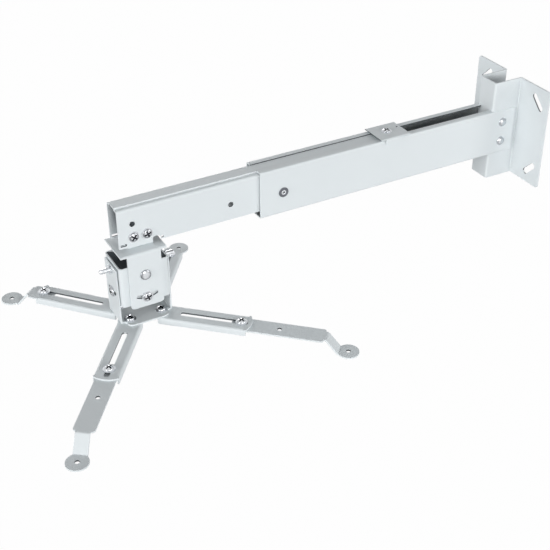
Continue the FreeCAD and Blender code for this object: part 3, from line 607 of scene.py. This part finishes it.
class GeometryTree:
    """A geometry node tree with named inputs."""

    def __init__(self, name: str) -> None:
        """Make an empty tree.

        Args:
            name: The tree's name.
        """
        self.tree = bpy.data.node_groups.new(name, "GeometryNodeTree")
        for way in ("INPUT", "OUTPUT"):
            self.tree.interface.new_socket(
                "Geometry", in_out=way, socket_type="NodeSocketGeometry"
            )
        self.start = self.tree.nodes.new("NodeGroupInput")
        self.end = self.tree.nodes.new("NodeGroupOutput")

    def size(self, name: str, value: float) -> Socket:
        """Add a named size.

        Args:
            name: The input's name.
            value: Its default.

        Returns:
            Its socket inside the tree.
        """
        item = self.tree.interface.new_socket(
            name, in_out="INPUT", socket_type="NodeSocketFloat"
        )
        item.default_value = value
        return self.start.outputs[name]

    def option(self, name: str, kind: str) -> Socket:
        """Add a named input of another type and return its socket inside the tree."""
        self.tree.interface.new_socket(name, in_out="INPUT", socket_type=kind)
        return self.start.outputs[name]

    def add(self, kind: str, settings: dict | None = None, **values: object) -> bpy.types.Node:
        """Add one node.

        Args:
            kind: The node's type.
            settings: Properties of the node, set before its sockets.
            values: Socket values or sockets, by name with underscores for spaces.

        Returns:
            The new node.
        """
        node = self.tree.nodes.new(kind)
        for key, value in (settings or {}).items():
            setattr(node, key, value)
        for key, value in values.items():
            self.feed(node.inputs[key.replace("_", " ")], value)
        return node

    def feed(self, socket: Socket, value: object) -> None:
        """Set or link one input.

        Args:
            socket: The input.
            value: A socket or a plain value.
        """
        if isinstance(value, Socket):
            self.tree.links.new(value, socket)
        else:
            socket.default_value = value

    def maths(self, operation: str, *values: object) -> Socket:
        """Add a Math node.

        Args:
            operation: The node's operation.
            values: Its inputs in order, each a socket or a number.

        Returns:
            The node's result.
        """
        node = self.tree.nodes.new("ShaderNodeMath")
        node.operation = operation
        for index, value in enumerate(values):
            self.feed(node.inputs[index], value)
        return node.outputs[0]

    def times(self, one: object, other: object) -> Socket:
        """Product of two values."""
        return self.maths("MULTIPLY", one, other)

    def vector(self, x: object = 0.0, y: object = 0.0, z: object = 0.0) -> Socket:
        """Join three values into a vector."""
        return self.add("ShaderNodeCombineXYZ", X=x, Y=y, Z=z).outputs[0]

    def moved(self, shape: Socket, shift: Socket) -> Socket:
        """Move a geometry."""
        return self.add("GeometryNodeTransform", Geometry=shape, Translation=shift).outputs[0]

    def cylinder(self, radius: object, depth: object, base: object, sides: int = 32) -> Socket:
        """An upright cylinder that stands on a height.

        Args:
            radius: Its radius.
            depth: Its height.
            base: The level of its lower face.
            sides: Faces round it.

        Returns:
            The geometry.
        """
        node = self.add("GeometryNodeMeshCylinder", Vertices=sides, Radius=radius, Depth=depth)
        middle = self.maths("MULTIPLY_ADD", depth, 0.5, base)
        return self.moved(node.outputs["Mesh"], self.vector(z=middle))

    def join(self, *shapes: Socket) -> Socket:
        """Join geometries into one.

        Args:
            shapes: The geometries.

        Returns:
            The joined geometry.
        """
        node = self.add("GeometryNodeJoinGeometry")
        for shape in shapes:
            self.tree.links.new(shape, node.inputs[0])
        return node.outputs[0]

    def cut(self, shape: Socket, *tools: Socket) -> Socket:
        """Take tools away from a shape.

        Args:
            shape: What is cut.
            tools: What is taken away.

        Returns:
            What is left.
        """
        node = self.add("GeometryNodeMeshBoolean", {"operation": "DIFFERENCE", "solver": "EXACT"})
        self.tree.links.new(shape, node.inputs[0])
        for tool in tools:
            self.tree.links.new(tool, node.inputs[1])
        return node.outputs[0]

    def common(self, *shapes: Socket) -> Socket:
        """Keep what shapes share.

        Args:
            shapes: The shapes.

        Returns:
            Their common part.
        """
        node = self.add("GeometryNodeMeshBoolean", {"operation": "INTERSECT", "solver": "EXACT"})
        for shape in shapes:
            self.tree.links.new(shape, node.inputs[1])
        return node.outputs[0]

    def dome(self, radius: Socket, height: Socket) -> Socket:
        """A rounded head with its flat at z = 0.

        Args:
            radius: The flat's radius.
            height: The head's height.

        Returns:
            The geometry.
        """
        ball = self.add(
            "GeometryNodeMeshUVSphere", Segments=HEAD_SIDES, Rings=DOME_RINGS, Radius=1.0
        ).outputs["Mesh"]
        scaled = self.add(
            "GeometryNodeTransform", Geometry=ball,
            Scale=self.vector(radius, radius, height),
        ).outputs[0]
        lower = self.cylinder(
            self.times(radius, 2.0), self.times(height, 2.0),
            self.times(height, -2.0), 8,
        )
        return self.cut(scaled, lower)

    def on_points(self, shape: Socket) -> None:
        """Put a shape on every input point, facing its direction, and end the tree.

        Args:
            shape: The shape, upright on z = 0.
        """
        material = self.option("Material", "NodeSocketMaterial")
        facing = self.add(
            "GeometryNodeInputNamedAttribute", {"data_type": "FLOAT_VECTOR"}, Name="facing"
        ).outputs["Attribute"]
        turn = self.add(
            "FunctionNodeAlignRotationToVector", {"axis": "Z"}, Vector=facing
        ).outputs[0]
        spin = self.add(
            "GeometryNodeInputNamedAttribute", {"data_type": "FLOAT"}, Name="spin"
        ).outputs["Attribute"]
        about = self.add("FunctionNodeAxisAngleToRotation", Axis=(0, 0, 1), Angle=spin).outputs[0]
        turned = self.add(
            "FunctionNodeRotateRotation", {"rotation_space": "LOCAL"},
            Rotation=turn, Rotate_By=about,
        ).outputs[0]
        points = self.add(
            "GeometryNodeMeshToPoints", Mesh=self.start.outputs["Geometry"]
        ).outputs[0]
        placed = self.add(
            "GeometryNodeInstanceOnPoints", Points=points, Instance=shape, Rotation=turned
        ).outputs[0]
        real = self.add("GeometryNodeRealizeInstances", Geometry=placed).outputs[0]
        dressed = self.add("GeometryNodeSetMaterial", Geometry=real, Material=material).outputs[0]
        self.tree.links.new(dressed, self.end.inputs[0])


@dataclass(frozen=True)
class HeadShade:
    """Where a domed head gets painted shade, as shares of its radius or height."""

    sunk_by: float = 0.10
    recess_within: float = 0.8
    recess_mark: float = 0.96
    ring_from: float = 0.50
    ring_full: float = 0.82
    ring_within: float = 1.01


@dataclass(frozen=True)
class CrossHead:
    """A cross-recess head's shape, as shares of its radius, height, shank or pitch."""

    rim: float = 0.24
    dome: float = 0.84
    bar_long: float = 1.25
    bar_thin: float = 0.32
    bar_deep: float = 1.3
    pit_top: float = 0.34
    pit_bottom: float = 0.12
    pit_drop: float = -0.65
    core: float = 0.9
    ridge: float = 0.45
    core_sides: int = 24
    pit_sides: int = 16
    turn_steps: int = 20
    ridge_corners: int = 3


@dataclass(frozen=True)
class PinShape:
    """A pivot's shape, as shares of its shank's radius or its head's height."""

    nose: float = 0.7
    rim: float = 0.15


@dataclass(frozen=True)
class NutShape:
    """The ball that rounds a nut's corners, as shares of its radius and height."""

    wide: float = 1.16
    tall: float = 1.12
    rings: int = 28
    sides: int = 6
    washer_sides: int = 48


HEAD_SHADE = HeadShade()
CROSS = CrossHead()
PIN = PinShape()
NUT = NutShape()


def paint_head_shade(work: GeometryTree, shape: Socket, radius: Socket, rim: Socket, top: Socket,
            ring: Socket) -> Socket:
    """Paint shade on a domed head's steep side and on the floor of its recess.

    Args:
        work: The tree.
        shape: The head.
        radius: The dome's radius.
        rim: The level that the dome starts from.
        top: The dome's height above it.
        ring: How strongly the steep side is painted with shade.

    Returns:
        The head with the painted-shade marks in an attribute.
    """
    place = work.add("GeometryNodeInputPosition").outputs[0]
    across, along, level = work.add("ShaderNodeSeparateXYZ", Vector=place).outputs
    square = work.maths("MULTIPLY_ADD", across, across, work.times(along, along))
    share = work.maths("DIVIDE", work.maths("SQRT", square), radius)
    left = work.maths("SUBTRACT", 1.0, work.times(share, share))
    rise = work.maths("SQRT", work.maths("MAXIMUM", left, 0.0))
    surface = work.maths("MULTIPLY_ADD", rise, top, rim)
    floor = work.maths("MULTIPLY_ADD", top, -HEAD_SHADE.sunk_by, surface)
    above = work.maths("GREATER_THAN", level, rim)
    sunk = work.times(work.maths("LESS_THAN", level, floor), above)
    inner = work.maths("LESS_THAN", share, HEAD_SHADE.recess_within)
    recess = work.times(work.times(sunk, inner), HEAD_SHADE.recess_mark)
    steep = work.add("ShaderNodeMapRange", {"interpolation_type": "SMOOTHSTEP"}, Value=share)
    for socket, value in ((1, HEAD_SHADE.ring_from), (2, HEAD_SHADE.ring_full), (3, 0.0), (4, 1.0)):
        steep.inputs[socket].default_value = value
    within = work.times(work.maths("LESS_THAN", share, HEAD_SHADE.ring_within), ring)
    side = work.times(steep.outputs[0], within)
    # Painted shade: the recess floor and the dome's steep side are marked to be darkened.
    mark = work.maths("MAXIMUM", recess, work.times(side, above))
    return work.add(
        "GeometryNodeStoreNamedAttribute", {"data_type": "FLOAT", "domain": "FACE"},
        Geometry=shape, Name=ZINC_SHADE, Value=mark,
    ).outputs[0]


def screw_tree() -> bpy.types.NodeTree:
    """A domed cross-recess screw with a flange: head on z = 0, threaded shank below.

    Returns:
        The tree.
    """
    work = GeometryTree("cross_recess_screw")
    radius = work.size("Head Radius", 6 * MM)
    height = work.size("Head Height", 3 * MM)
    shank = work.size("Shank Radius", 3 * MM)
    length = work.size("Shank Length", 10 * MM)
    pitch = work.size("Pitch", 1 * MM)
    recess = work.size("Recess", 1.0)
    ring = work.size("Ring Shade", 0.5)
    rim = work.times(height, CROSS.rim)
    top = work.maths("SUBTRACT", height, rim)
    round_top = work.times(radius, CROSS.dome)
    cap = work.moved(work.dome(round_top, top), work.vector(z=rim))
    skirt = work.cylinder(radius, rim, 0.0, HEAD_SIDES)
    arm_long = work.times(radius, CROSS.bar_long)
    arm_thin = work.times(radius, CROSS.bar_thin)
    deep = work.times(height, CROSS.bar_deep)
    sinking = work.times(recess, -2.0)
    lift = work.maths("MULTIPLY_ADD", sinking, height, work.times(height, 3.0))
    bars = []
    for across, along in ((arm_long, arm_thin), (arm_thin, arm_long)):
        bar = work.add("GeometryNodeMeshCube", Size=work.vector(across, along, deep))
        bars.append(work.moved(bar.outputs["Mesh"], work.vector(z=lift)))
    cone = work.add(
        "GeometryNodeMeshCone", Vertices=CROSS.pit_sides, Depth=height,
        Radius_Top=work.times(radius, CROSS.pit_top),
        Radius_Bottom=work.times(radius, CROSS.pit_bottom),
    ).outputs["Mesh"]
    pit_level = work.maths("MULTIPLY_ADD", height, CROSS.pit_drop, lift)
    pit = work.moved(cone, work.vector(z=pit_level))
    head = paint_head_shade(work, work.cut(cap, *bars, pit), round_top, rim, top, ring)
    down = work.times(length, -1.0)
    core = work.cylinder(work.times(shank, CROSS.core), length, down, CROSS.core_sides)
    turns = work.maths("DIVIDE", length, pitch)
    helix = work.add(
        "GeometryNodeCurveSpiral", Resolution=CROSS.turn_steps, Rotations=turns, Start_Radius=shank,
        End_Radius=shank, Height=length,
    ).outputs[0]
    ridge = work.add(
        "GeometryNodeCurvePrimitiveCircle", {"mode": "RADIUS"}, Resolution=CROSS.ridge_corners,
        Radius=work.times(pitch, CROSS.ridge),
    ).outputs[0]
    thread = work.add(
        "GeometryNodeCurveToMesh", Curve=helix, Profile_Curve=ridge, Fill_Caps=True
    ).outputs[0]
    sleeve = work.cylinder(shank, length, down, CROSS.core_sides)
    turned = work.common(work.moved(thread, work.vector(z=down)), sleeve)
    work.on_points(work.join(head, skirt, core, turned))
    return work.tree


def pin_tree(rod: bool) -> bpy.types.NodeTree:
    """A pivot whose head is seated at z = 0 and whose tail is upset behind the wall.

    Args:
        rod: Whether a smooth rod with a rounded end stands on a collar, in place of a domed head.

    Returns:
        The tree.
    """
    work = GeometryTree("pivot_stud" if rod else "domed_pivot_pin")
    radius = work.size("Head Radius", 6 * MM)
    height = work.size("Head Height", 2.6 * MM)
    shank = work.size("Shank Radius", 3 * MM)
    drop = work.size("Drop", 4 * MM)
    tail = work.size("Tail Radius", 6 * MM)
    tail_height = work.size("Tail Height", 1.6 * MM)
    if rod:
        reach = work.size("Rod Reach", 13.6 * MM)
        nose = work.times(shank, PIN.nose)
        straight = work.maths("SUBTRACT", reach, nose)
        head = work.join(
            work.cylinder(radius, height, 0.0, HEAD_SIDES), work.cylinder(shank, straight, 0.0),
            work.moved(work.dome(shank, nose), work.vector(z=straight)),
        )
    else:
        rim = work.times(height, PIN.rim)
        top = work.maths("SUBTRACT", height, rim)
        round_top = work.moved(work.dome(radius, top), work.vector(z=rim))
        dome = paint_head_shade(work, round_top, radius, rim, top, work.size("Ring Shade", 0.5))
        head = work.join(dome, work.cylinder(radius, rim, 0.0, HEAD_SIDES))
    down = work.times(drop, -1.0)
    foot = work.maths("SUBTRACT", down, tail_height)
    upset = work.cylinder(tail, tail_height, foot, HEAD_SIDES)
    work.on_points(work.join(head, work.cylinder(shank, drop, down), upset))
    return work.tree


def nut_tree() -> bpy.types.NodeTree:
    """A chamfered hexagon nut: seat on z = 0, body below.

    Returns:
        The tree.
    """
    work = GeometryTree("hexagon_nut")
    radius = work.size("Corner Radius", 5.8 * MM)
    height = work.size("Height", 4.6 * MM)
    bore = work.size("Bore Radius", 3 * MM)
    down = work.times(height, -1.0)
    block = work.cylinder(radius, height, down, NUT.sides)
    ball = work.add(
        "GeometryNodeMeshUVSphere", Segments=HEAD_SIDES, Rings=NUT.rings, Radius=1.0
    ).outputs["Mesh"]
    wide = work.times(radius, NUT.wide)
    tall = work.times(height, NUT.tall)
    crown = work.add(
        "GeometryNodeTransform", Geometry=ball, Scale=work.vector(wide, wide, tall),
        Translation=work.vector(z=work.times(height, -0.5)),
    ).outputs[0]
    rounded = work.common(block, crown)
    below = work.times(height, -1.5)
    hole = work.cylinder(bore, work.times(height, 2.0), below)
    work.on_points(work.cut(rounded, hole))
    return work.tree


def washer_tree() -> bpy.types.NodeTree:
    """A flat washer: seat on z = 0, body above.

    Returns:
        The tree.
    """
    work = GeometryTree("flat_washer")
    radius = work.size("Radius", 7 * MM)
    height = work.size("Height", 1 * MM)
    bore = work.size("Bore Radius", 3 * MM)
    disc = work.cylinder(radius, height, 0.0, NUT.washer_sides)
    below = work.times(height, -2.0)
    hole = work.cylinder(bore, work.times(height, 4.0), below)
    work.on_points(work.cut(disc, hole))
    return work.tree


@dataclass
class Fastener:
    """One node of equal fasteners: what they are, how they point and their sizes.

    An axis of None stands for the side that each solid is thinnest on.
    """

    node: str
    kind: Kind
    axis: Axis | None
    slot: str = "bright_zinc"
    radius: float = 6.1 * MM
    head: float = 3.0 * MM
    shank: float = 3.0 * MM
    tail: float = 6.0 * MM
    tail_height: float = 1.6 * MM
    collar: float = 2.0 * MM
    recess: float = 1.0
    # How strongly painted shade darkens the head's steep side.
    ring: float = 0.45
    spins: Sequence[float] = (0.35, 0.9, 0.15, 0.62)

    def seats(self) -> list[tuple[Vector, Vector, float]]:
        """Where each fastener sits.

        Returns:
            For each solid, its seat, the direction that its head faces and its whole length.
        """
        boxes = islands(self.node)
        middle = sum((low + high for low, high in boxes), Vector()) / (2 * len(boxes))
        found = []
        for low, high in boxes:
            centre = (low + high) / 2
            size = high - low
            across = size[:].index(min(size)) if self.axis is None else self.axis.value
            sign = 1.0 if across == Axis.Z.value or centre[across] >= middle[across] else -1.0
            facing = Vector((0, 0, 0))
            facing[across] = sign
            seat = centre.copy()
            outer = high[across] if sign > 0 else low[across]
            reach = high[across] - low[across]
            if self.kind in (Kind.SCREW, Kind.PIN, Kind.STUD):
                seat[across] = outer - sign * self.head
            elif self.kind is Kind.NUT:
                seat[across] = outer
            else:
                seat[across] = outer - sign * reach
            found.append((seat, facing, reach))
        return found


class Hardware:
    """Makes every fastener node from the geometry trees."""

    def __init__(self, finishes: Finishes) -> None:
        """Make the trees, one for each kind of fastener.

        Args:
            finishes: The object's finishes.
        """
        self.trees = {
            Kind.SCREW: screw_tree(),
            Kind.NUT: nut_tree(),
            Kind.WASHER: washer_tree(),
            Kind.PIN: pin_tree(rod=False),
            Kind.STUD: pin_tree(rod=True),
        }
        self.slots = {"bright_zinc": finishes.bright, "dull_zinc": finishes.dull}

    def make(self, item: Fastener) -> bpy.types.Object:
        """Build one node's fasteners on its seats.

        Args:
            item: The fastener's description.

        Returns:
            The finished piece.
        """
        seats = item.seats()
        mesh = bpy.data.meshes.new(f"{item.node}_points")
        mesh.from_pydata([seat for seat, _, _ in seats], [], [])
        mesh.attributes.new("facing", "FLOAT_VECTOR", "POINT")
        mesh.attributes.new("spin", "FLOAT", "POINT")
        for index, (_, direction, _) in enumerate(seats):
            mesh.attributes["facing"].data[index].vector = direction
            mesh.attributes["spin"].data[index].value = item.spins[index % len(item.spins)]
        piece = new_piece(f"{item.node}_made", mesh)
        modifier = piece.modifiers.new("fasteners", "NODES")
        modifier.node_group = self.trees[item.kind]
        reach = seats[0][2]
        pivot = {
            "Head Radius": item.radius, "Shank Radius": item.shank, "Tail Radius": item.tail,
            "Tail Height": item.tail_height, "Drop": reach - item.head - item.tail_height,
        }
        sizes = {
            Kind.SCREW: {
                "Head Radius": item.radius, "Head Height": item.head,
                "Shank Radius": item.shank, "Shank Length": reach - item.head,
                "Recess": item.recess, "Ring Shade": item.ring,
            },
            Kind.NUT: {"Corner Radius": item.radius, "Height": reach, "Bore Radius": item.shank},
            Kind.WASHER: {"Radius": item.radius, "Height": reach, "Bore Radius": item.shank},
            Kind.PIN: {**pivot, "Head Height": item.head, "Ring Shade": item.ring},
            Kind.STUD: {**pivot, "Head Height": item.collar, "Rod Reach": item.head},
        }[item.kind]
        sizes["Material"] = self.slots[item.slot]
        for socket in modifier.node_group.interface.items_tree:
            if socket.in_out == "INPUT" and socket.name in sizes:
                modifier[socket.identifier] = sizes[socket.name]
        finished(piece, self.slots[item.slot])
        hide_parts(item.node)
        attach(piece, node_body(item.node))
        LOG.info("%s: %d faces", piece.name, len(piece.data.polygons))
        return piece


# The object's sub-assemblies

SIDES = ("front", "left", "right", "back")


@dataclass
class Boom:
    """The wall bracket, the two channels, the slider plate and the end adapter."""

    plate_under: float = 29.2 * MM
    plate_gap: float = 0.5 * MM
    plate_end: float = 211.6 * MM

    def build(self, coat: bpy.types.Material) -> None:
        """Make the boom's sheets.

        Args:
            coat: The finish.
        """
        for node in ("wall_bracket", "outer_channel", "inner_channel", "end_adapter"):
            SheetPiece(node).build(coat)
        under_plate = Trim(Axis.Z, self.plate_under, self.plate_gap, 0.0)
        # Painted shade: the slider plate's head-side end is painted dark as a shadow line.
        plate_end_shade = ShadedEnd(Axis.X, self.plate_end)
        SheetPiece("slider_plate", trims=(under_plate,), shaded_ends=(plate_end_shade,)).build(coat)


@dataclass
class Head:
    """The upper yoke, the tilt box and the lower yoke."""

    middle: float = 527.4 * MM
    flange_inside: float = 30.2 * MM
    flange_gap: float = 0.8 * MM
    bend_top: float = -115.0 * MM
    box_inside: float = 80 * MM

    def build(self, coat: bpy.types.Material) -> None:
        """Make the head's sheets.

        Args:
            coat: The finish.
        """
        SheetPiece("upper_yoke").build(coat)
        # Painted shade: walls that face each other across the box's inside, up to box_inside apart,
        # are darkened.
        SheetPiece("tilt_box", widest_cut=self.box_inside).build(coat)
        gaps = []
        for side in (1, -1):
            level = self.middle + self.flange_inside * side
            gaps.append(Trim(Axis.X, level, self.flange_gap * side, self.bend_top))
        SheetPiece("lower_yoke", trims=gaps).build(coat)


@dataclass
class Arms:
    """The four slotted arms and the strips that slide in them."""

    sides: Sequence[str] = SIDES

    def build(self, coat: bpy.types.Material) -> None:
        """Make the arms and strips.

        Args:
            coat: The finish.
        """
        for side in self.sides:
            SheetPiece(f"arm_{side}").build(coat)
            SheetPiece(f"strip_{side}", join_flats=False).build(coat)


@dataclass
class Fixings:
    """All the screws, nuts and washers."""

    wide_head: float = 6.7 * MM
    nut: float = 5.8 * MM
    washer: float = 7.0 * MM
    swivel: float = 9.0 * MM
    swivel_head: float = 4.5 * MM
    swivel_shank: float = 5.0 * MM
    swivel_washer: float = 11.0 * MM
    thin_shank: float = 2.0 * MM
    pin_radius: float = 6.5 * MM
    pin_head: float = 2.6 * MM
    pin_shank: float = 4.0 * MM
    stud_radius: float = 5.5 * MM
    stud_reach: float = 13.6 * MM
    recess_walls: float = 4.0 * MM
    # Shares of painted shade on the steep sides of the heads.
    bolt_ring: float = 0.35
    pivot_ring: float = 0.6
    arm_ring: float = 0.15
    strip_ring: float = 0.2

    def items(self) -> list[Fastener]:
        """Describe every fastener node.

        Returns:
            One description for each node.
        """
        found = [
            Fastener("channel_bolts", Kind.SCREW, Axis.Y, recess=0.0, ring=self.bolt_ring),
            Fastener("channel_nuts", Kind.NUT, Axis.Y, "dull_zinc", self.nut),
            Fastener("slider_screw", Kind.SCREW, Axis.Z),
            Fastener("slider_spacer", Kind.WASHER, Axis.Z, "dull_zinc", self.washer),
            Fastener("slider_nut", Kind.NUT, Axis.Z, "dull_zinc", self.nut),
            Fastener("adapter_screws", Kind.SCREW, Axis.Y, radius=self.wide_head,
                     ring=self.pivot_ring),
            Fastener("adapter_nuts", Kind.NUT, Axis.Y, "dull_zinc", self.nut),
            Fastener("swivel_bolt", Kind.SCREW, Axis.Z, "dull_zinc", self.swivel,
                     self.swivel_head, self.swivel_shank),
            Fastener("swivel_washer", Kind.WASHER, Axis.Z, "dull_zinc", self.swivel_washer,
                     shank=self.swivel_shank),
            Fastener("swivel_nut", Kind.NUT, Axis.Z, "dull_zinc", self.swivel,
                     shank=self.swivel_shank),
            Fastener("tilt_lock_screws", Kind.SCREW, Axis.Y, radius=self.wide_head,
                     shank=self.thin_shank),
            Fastener("roll_lock_screws", Kind.SCREW, Axis.X, radius=self.wide_head,
                     shank=self.thin_shank),
            Fastener("lock_nuts", Kind.NUT, None, "dull_zinc", self.nut, shank=self.thin_shank),
            Fastener("tilt_pivot_pins", Kind.PIN, Axis.Y, radius=self.pin_radius,
                     head=self.pin_head, shank=self.pin_shank, ring=self.pivot_ring),
            Fastener("roll_pivot_studs", Kind.STUD, Axis.X, radius=self.stud_radius,
                     head=self.stud_reach),
            Fastener("arm_bolts", Kind.SCREW, Axis.Z, ring=self.arm_ring),
            Fastener("arm_washers", Kind.WASHER, Axis.Z, "bright_zinc", self.washer),
            Fastener("arm_nuts", Kind.NUT, Axis.Z, "dull_zinc", self.nut),
        ]
        for side in SIDES:
            found += [
                Fastener(f"strip_screw_{side}", Kind.SCREW, Axis.Z, ring=self.strip_ring),
                Fastener(f"strip_washer_{side}", Kind.WASHER, Axis.Z, "bright_zinc", self.washer),
                Fastener(f"strip_nut_{side}", Kind.NUT, Axis.Z, "dull_zinc", self.nut),
            ]
        return found

    def build(self, finishes: Finishes) -> None:
        """Make every fastener node, and dress the turned parts that keep their own shape.

        Args:
            finishes: The object's finishes.
        """
        hardware = Hardware(finishes)
        for item in self.items():
            hardware.make(item)
        # Painted shade: walls of the turned parts' recesses that face each other within
        # recess_walls are darkened.
        turned = {"lock_insert": finishes.dark, "extension_lock_screw": finishes.bright}
        for node, finish in turned.items():
            SheetPiece(
                node, "bright_zinc", widest_cut=self.recess_walls, mark=ZINC_SHADE
            ).build(finish)


@dataclass(frozen=True)
class Lamp:
    """A far, soft lamp: where its light comes from, and its share of a plain level.

    A share of 1 shows a colour as it is written on a face that looks at the lamp.
    """

    name: str
    source: Triple
    share: float


@dataclass
class Studio:
    """Floor, lights, world and camera."""

    floor_level: float = -0.42
    floor_half: float = 7.0
    floor_colour: Colour = (0.62, 0.63, 0.64)
    floor_roughness: float = 0.9
    sky: Colour = (0.96, 0.98, 1.0)
    ambient: float = 0.24
    softness: float = 26.0
    shown: float = 0.985
    lamps: Sequence[Lamp] = (
        Lamp("front_lamp", (0.1, 1.0, 0.20), 0.44),
        Lamp("right_lamp", (-0.8, 0.75, 0.26), 0.25),
        Lamp("left_lamp", (1.0, 0.16, 0.18), 0.50),
        Lamp("back_lamp", (-0.25, -1.0, 0.04), 0.36),
    )
    camera_place: Triple = (0.89149, 0.99686, 0.62157)
    camera_turn: Triple = (56.5199, 0.2411, 151.2581)
    lens: float = 71.715
    sensor: float = 36.0

    def background(self, nodes: bpy.types.Nodes, links: bpy.types.NodeLinks) -> Socket:
        """Tell the rays that should see the white background from the rest.

        Args:
            nodes: The tree's nodes.
            links: The tree's links.

        Returns:
            1 for those rays, else 0.
        """
        path = nodes.new("ShaderNodeLightPath")
        total = None
        for name in ("Is Camera Ray", "Is Glossy Ray", "Is Transmission Ray"):
            if total is None:
                total = path.outputs[name]
                continue
            node = nodes.new("ShaderNodeMath")
            node.operation = "ADD"
            node.use_clamp = True
            links.new(total, node.inputs[0])
            links.new(path.outputs[name], node.inputs[1])
            total = node.outputs[0]
        return total

    def build_world(self) -> None:
        """White to the camera and to reflections, a soft grey to everything else."""
        world = bpy.data.worlds.new("studio")
        bpy.context.scene.world = world
        world.use_nodes = True
        nodes, links = world.node_tree.nodes, world.node_tree.links
        shown = nodes["Background"]
        shown.inputs["Color"].default_value = (1, 1, 1, 1)
        shown.inputs["Strength"].default_value = 1.0
        lit = nodes.new("ShaderNodeBackground")
        lit.inputs["Color"].default_value = (*self.sky, 1)
        lit.inputs["Strength"].default_value = self.ambient
        mix = nodes.new("ShaderNodeMixShader")
        links.new(self.background(nodes, links), mix.inputs[0])
        links.new(lit.outputs[0], mix.inputs[1])
        links.new(shown.outputs[0], mix.inputs[2])
        links.new(mix.outputs[0], nodes["World Output"].inputs[0])

    def build_floor(self) -> None:
        """A wide pale floor well below the part."""
        half, level = self.floor_half, self.floor_level
        mesh = bpy.data.meshes.new("floor")
        mesh.from_pydata(
            [(x * half, y * half, level) for x, y in ((-1, -1), (1, -1), (1, 1), (-1, 1))],
            [], [(0, 1, 2, 3)],
        )
        floor = new_piece("floor", mesh)
        material = bpy.data.materials.new("pale_floor")
        material.use_nodes = True
        nodes, links = material.node_tree.nodes, material.node_tree.links
        paper = nodes["Principled BSDF"]
        paper.inputs["Base Color"].default_value = (*self.floor_colour, 1)
        paper.inputs["Roughness"].default_value = self.floor_roughness
        glow = nodes.new("ShaderNodeEmission")
        mix = nodes.new("ShaderNodeMixShader")
        keep = nodes.new("ShaderNodeMath")
        keep.operation = "MULTIPLY"
        keep.inputs[1].default_value = self.shown
        links.new(self.background(nodes, links), keep.inputs[0])
        links.new(keep.outputs[0], mix.inputs[0])
        links.new(paper.outputs[0], mix.inputs[1])
        links.new(glow.outputs[0], mix.inputs[2])
        links.new(mix.outputs[0], nodes["Material Output"].inputs[0])
        mesh.materials.append(material)
        floor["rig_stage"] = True

    def add_lamp(self, lamp: Lamp) -> None:
        """Add one lamp.

        Args:
            lamp: The lamp's description.
        """
        light = bpy.data.lights.new(lamp.name, "SUN")
        light.angle = math.radians(self.softness)
        light.energy = lamp.share * math.pi
        obj = bpy.data.objects.new(lamp.name, light)
        obj.rotation_euler = (-Vector(lamp.source)).to_track_quat("-Z", "Y").to_euler()
        bpy.context.scene.collection.objects.link(obj)

    def build_camera(self) -> None:
        """The camera at the photograph's angle."""
        data = bpy.data.cameras.new("camera")
        data.lens = self.lens
        data.sensor_width = self.sensor
        data.sensor_fit = "HORIZONTAL"
        camera = bpy.data.objects.new("camera", data)
        camera.location = self.camera_place
        camera.rotation_euler = [math.radians(angle) for angle in self.camera_turn]
        bpy.context.scene.collection.objects.link(camera)
        bpy.context.scene.camera = camera

    def build(self) -> None:
        """Set up the studio."""
        bpy.context.scene.view_settings.view_transform = "Standard"
        self.build_world()
        self.build_floor()
        for lamp in self.lamps:
            self.add_lamp(lamp)
        self.build_camera()


def write_sizes() -> None:
    """Put the frame's box and the dressed part's box into plain lists; they are neither kept nor
    compared.
    """
    boxes = {"cad": CAD_BOX, "visual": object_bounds()}
    plain = {
        name: [[float(value) for value in corner] for corner in box]
        for name, box in boxes.items()
    }


def main() -> None:
    """Build the object's pieces in order, then the studio."""
    logging.basicConfig(level=logging.INFO, format="%(message)s")
    finishes = Finishes()
    Boom().build(finishes.coat)
    Head().build(finishes.coat)
    Arms().build(finishes.coat)
    Fixings().build(finishes)
    Studio().build()
    write_sizes()


if __name__ == "__main__":
    main()
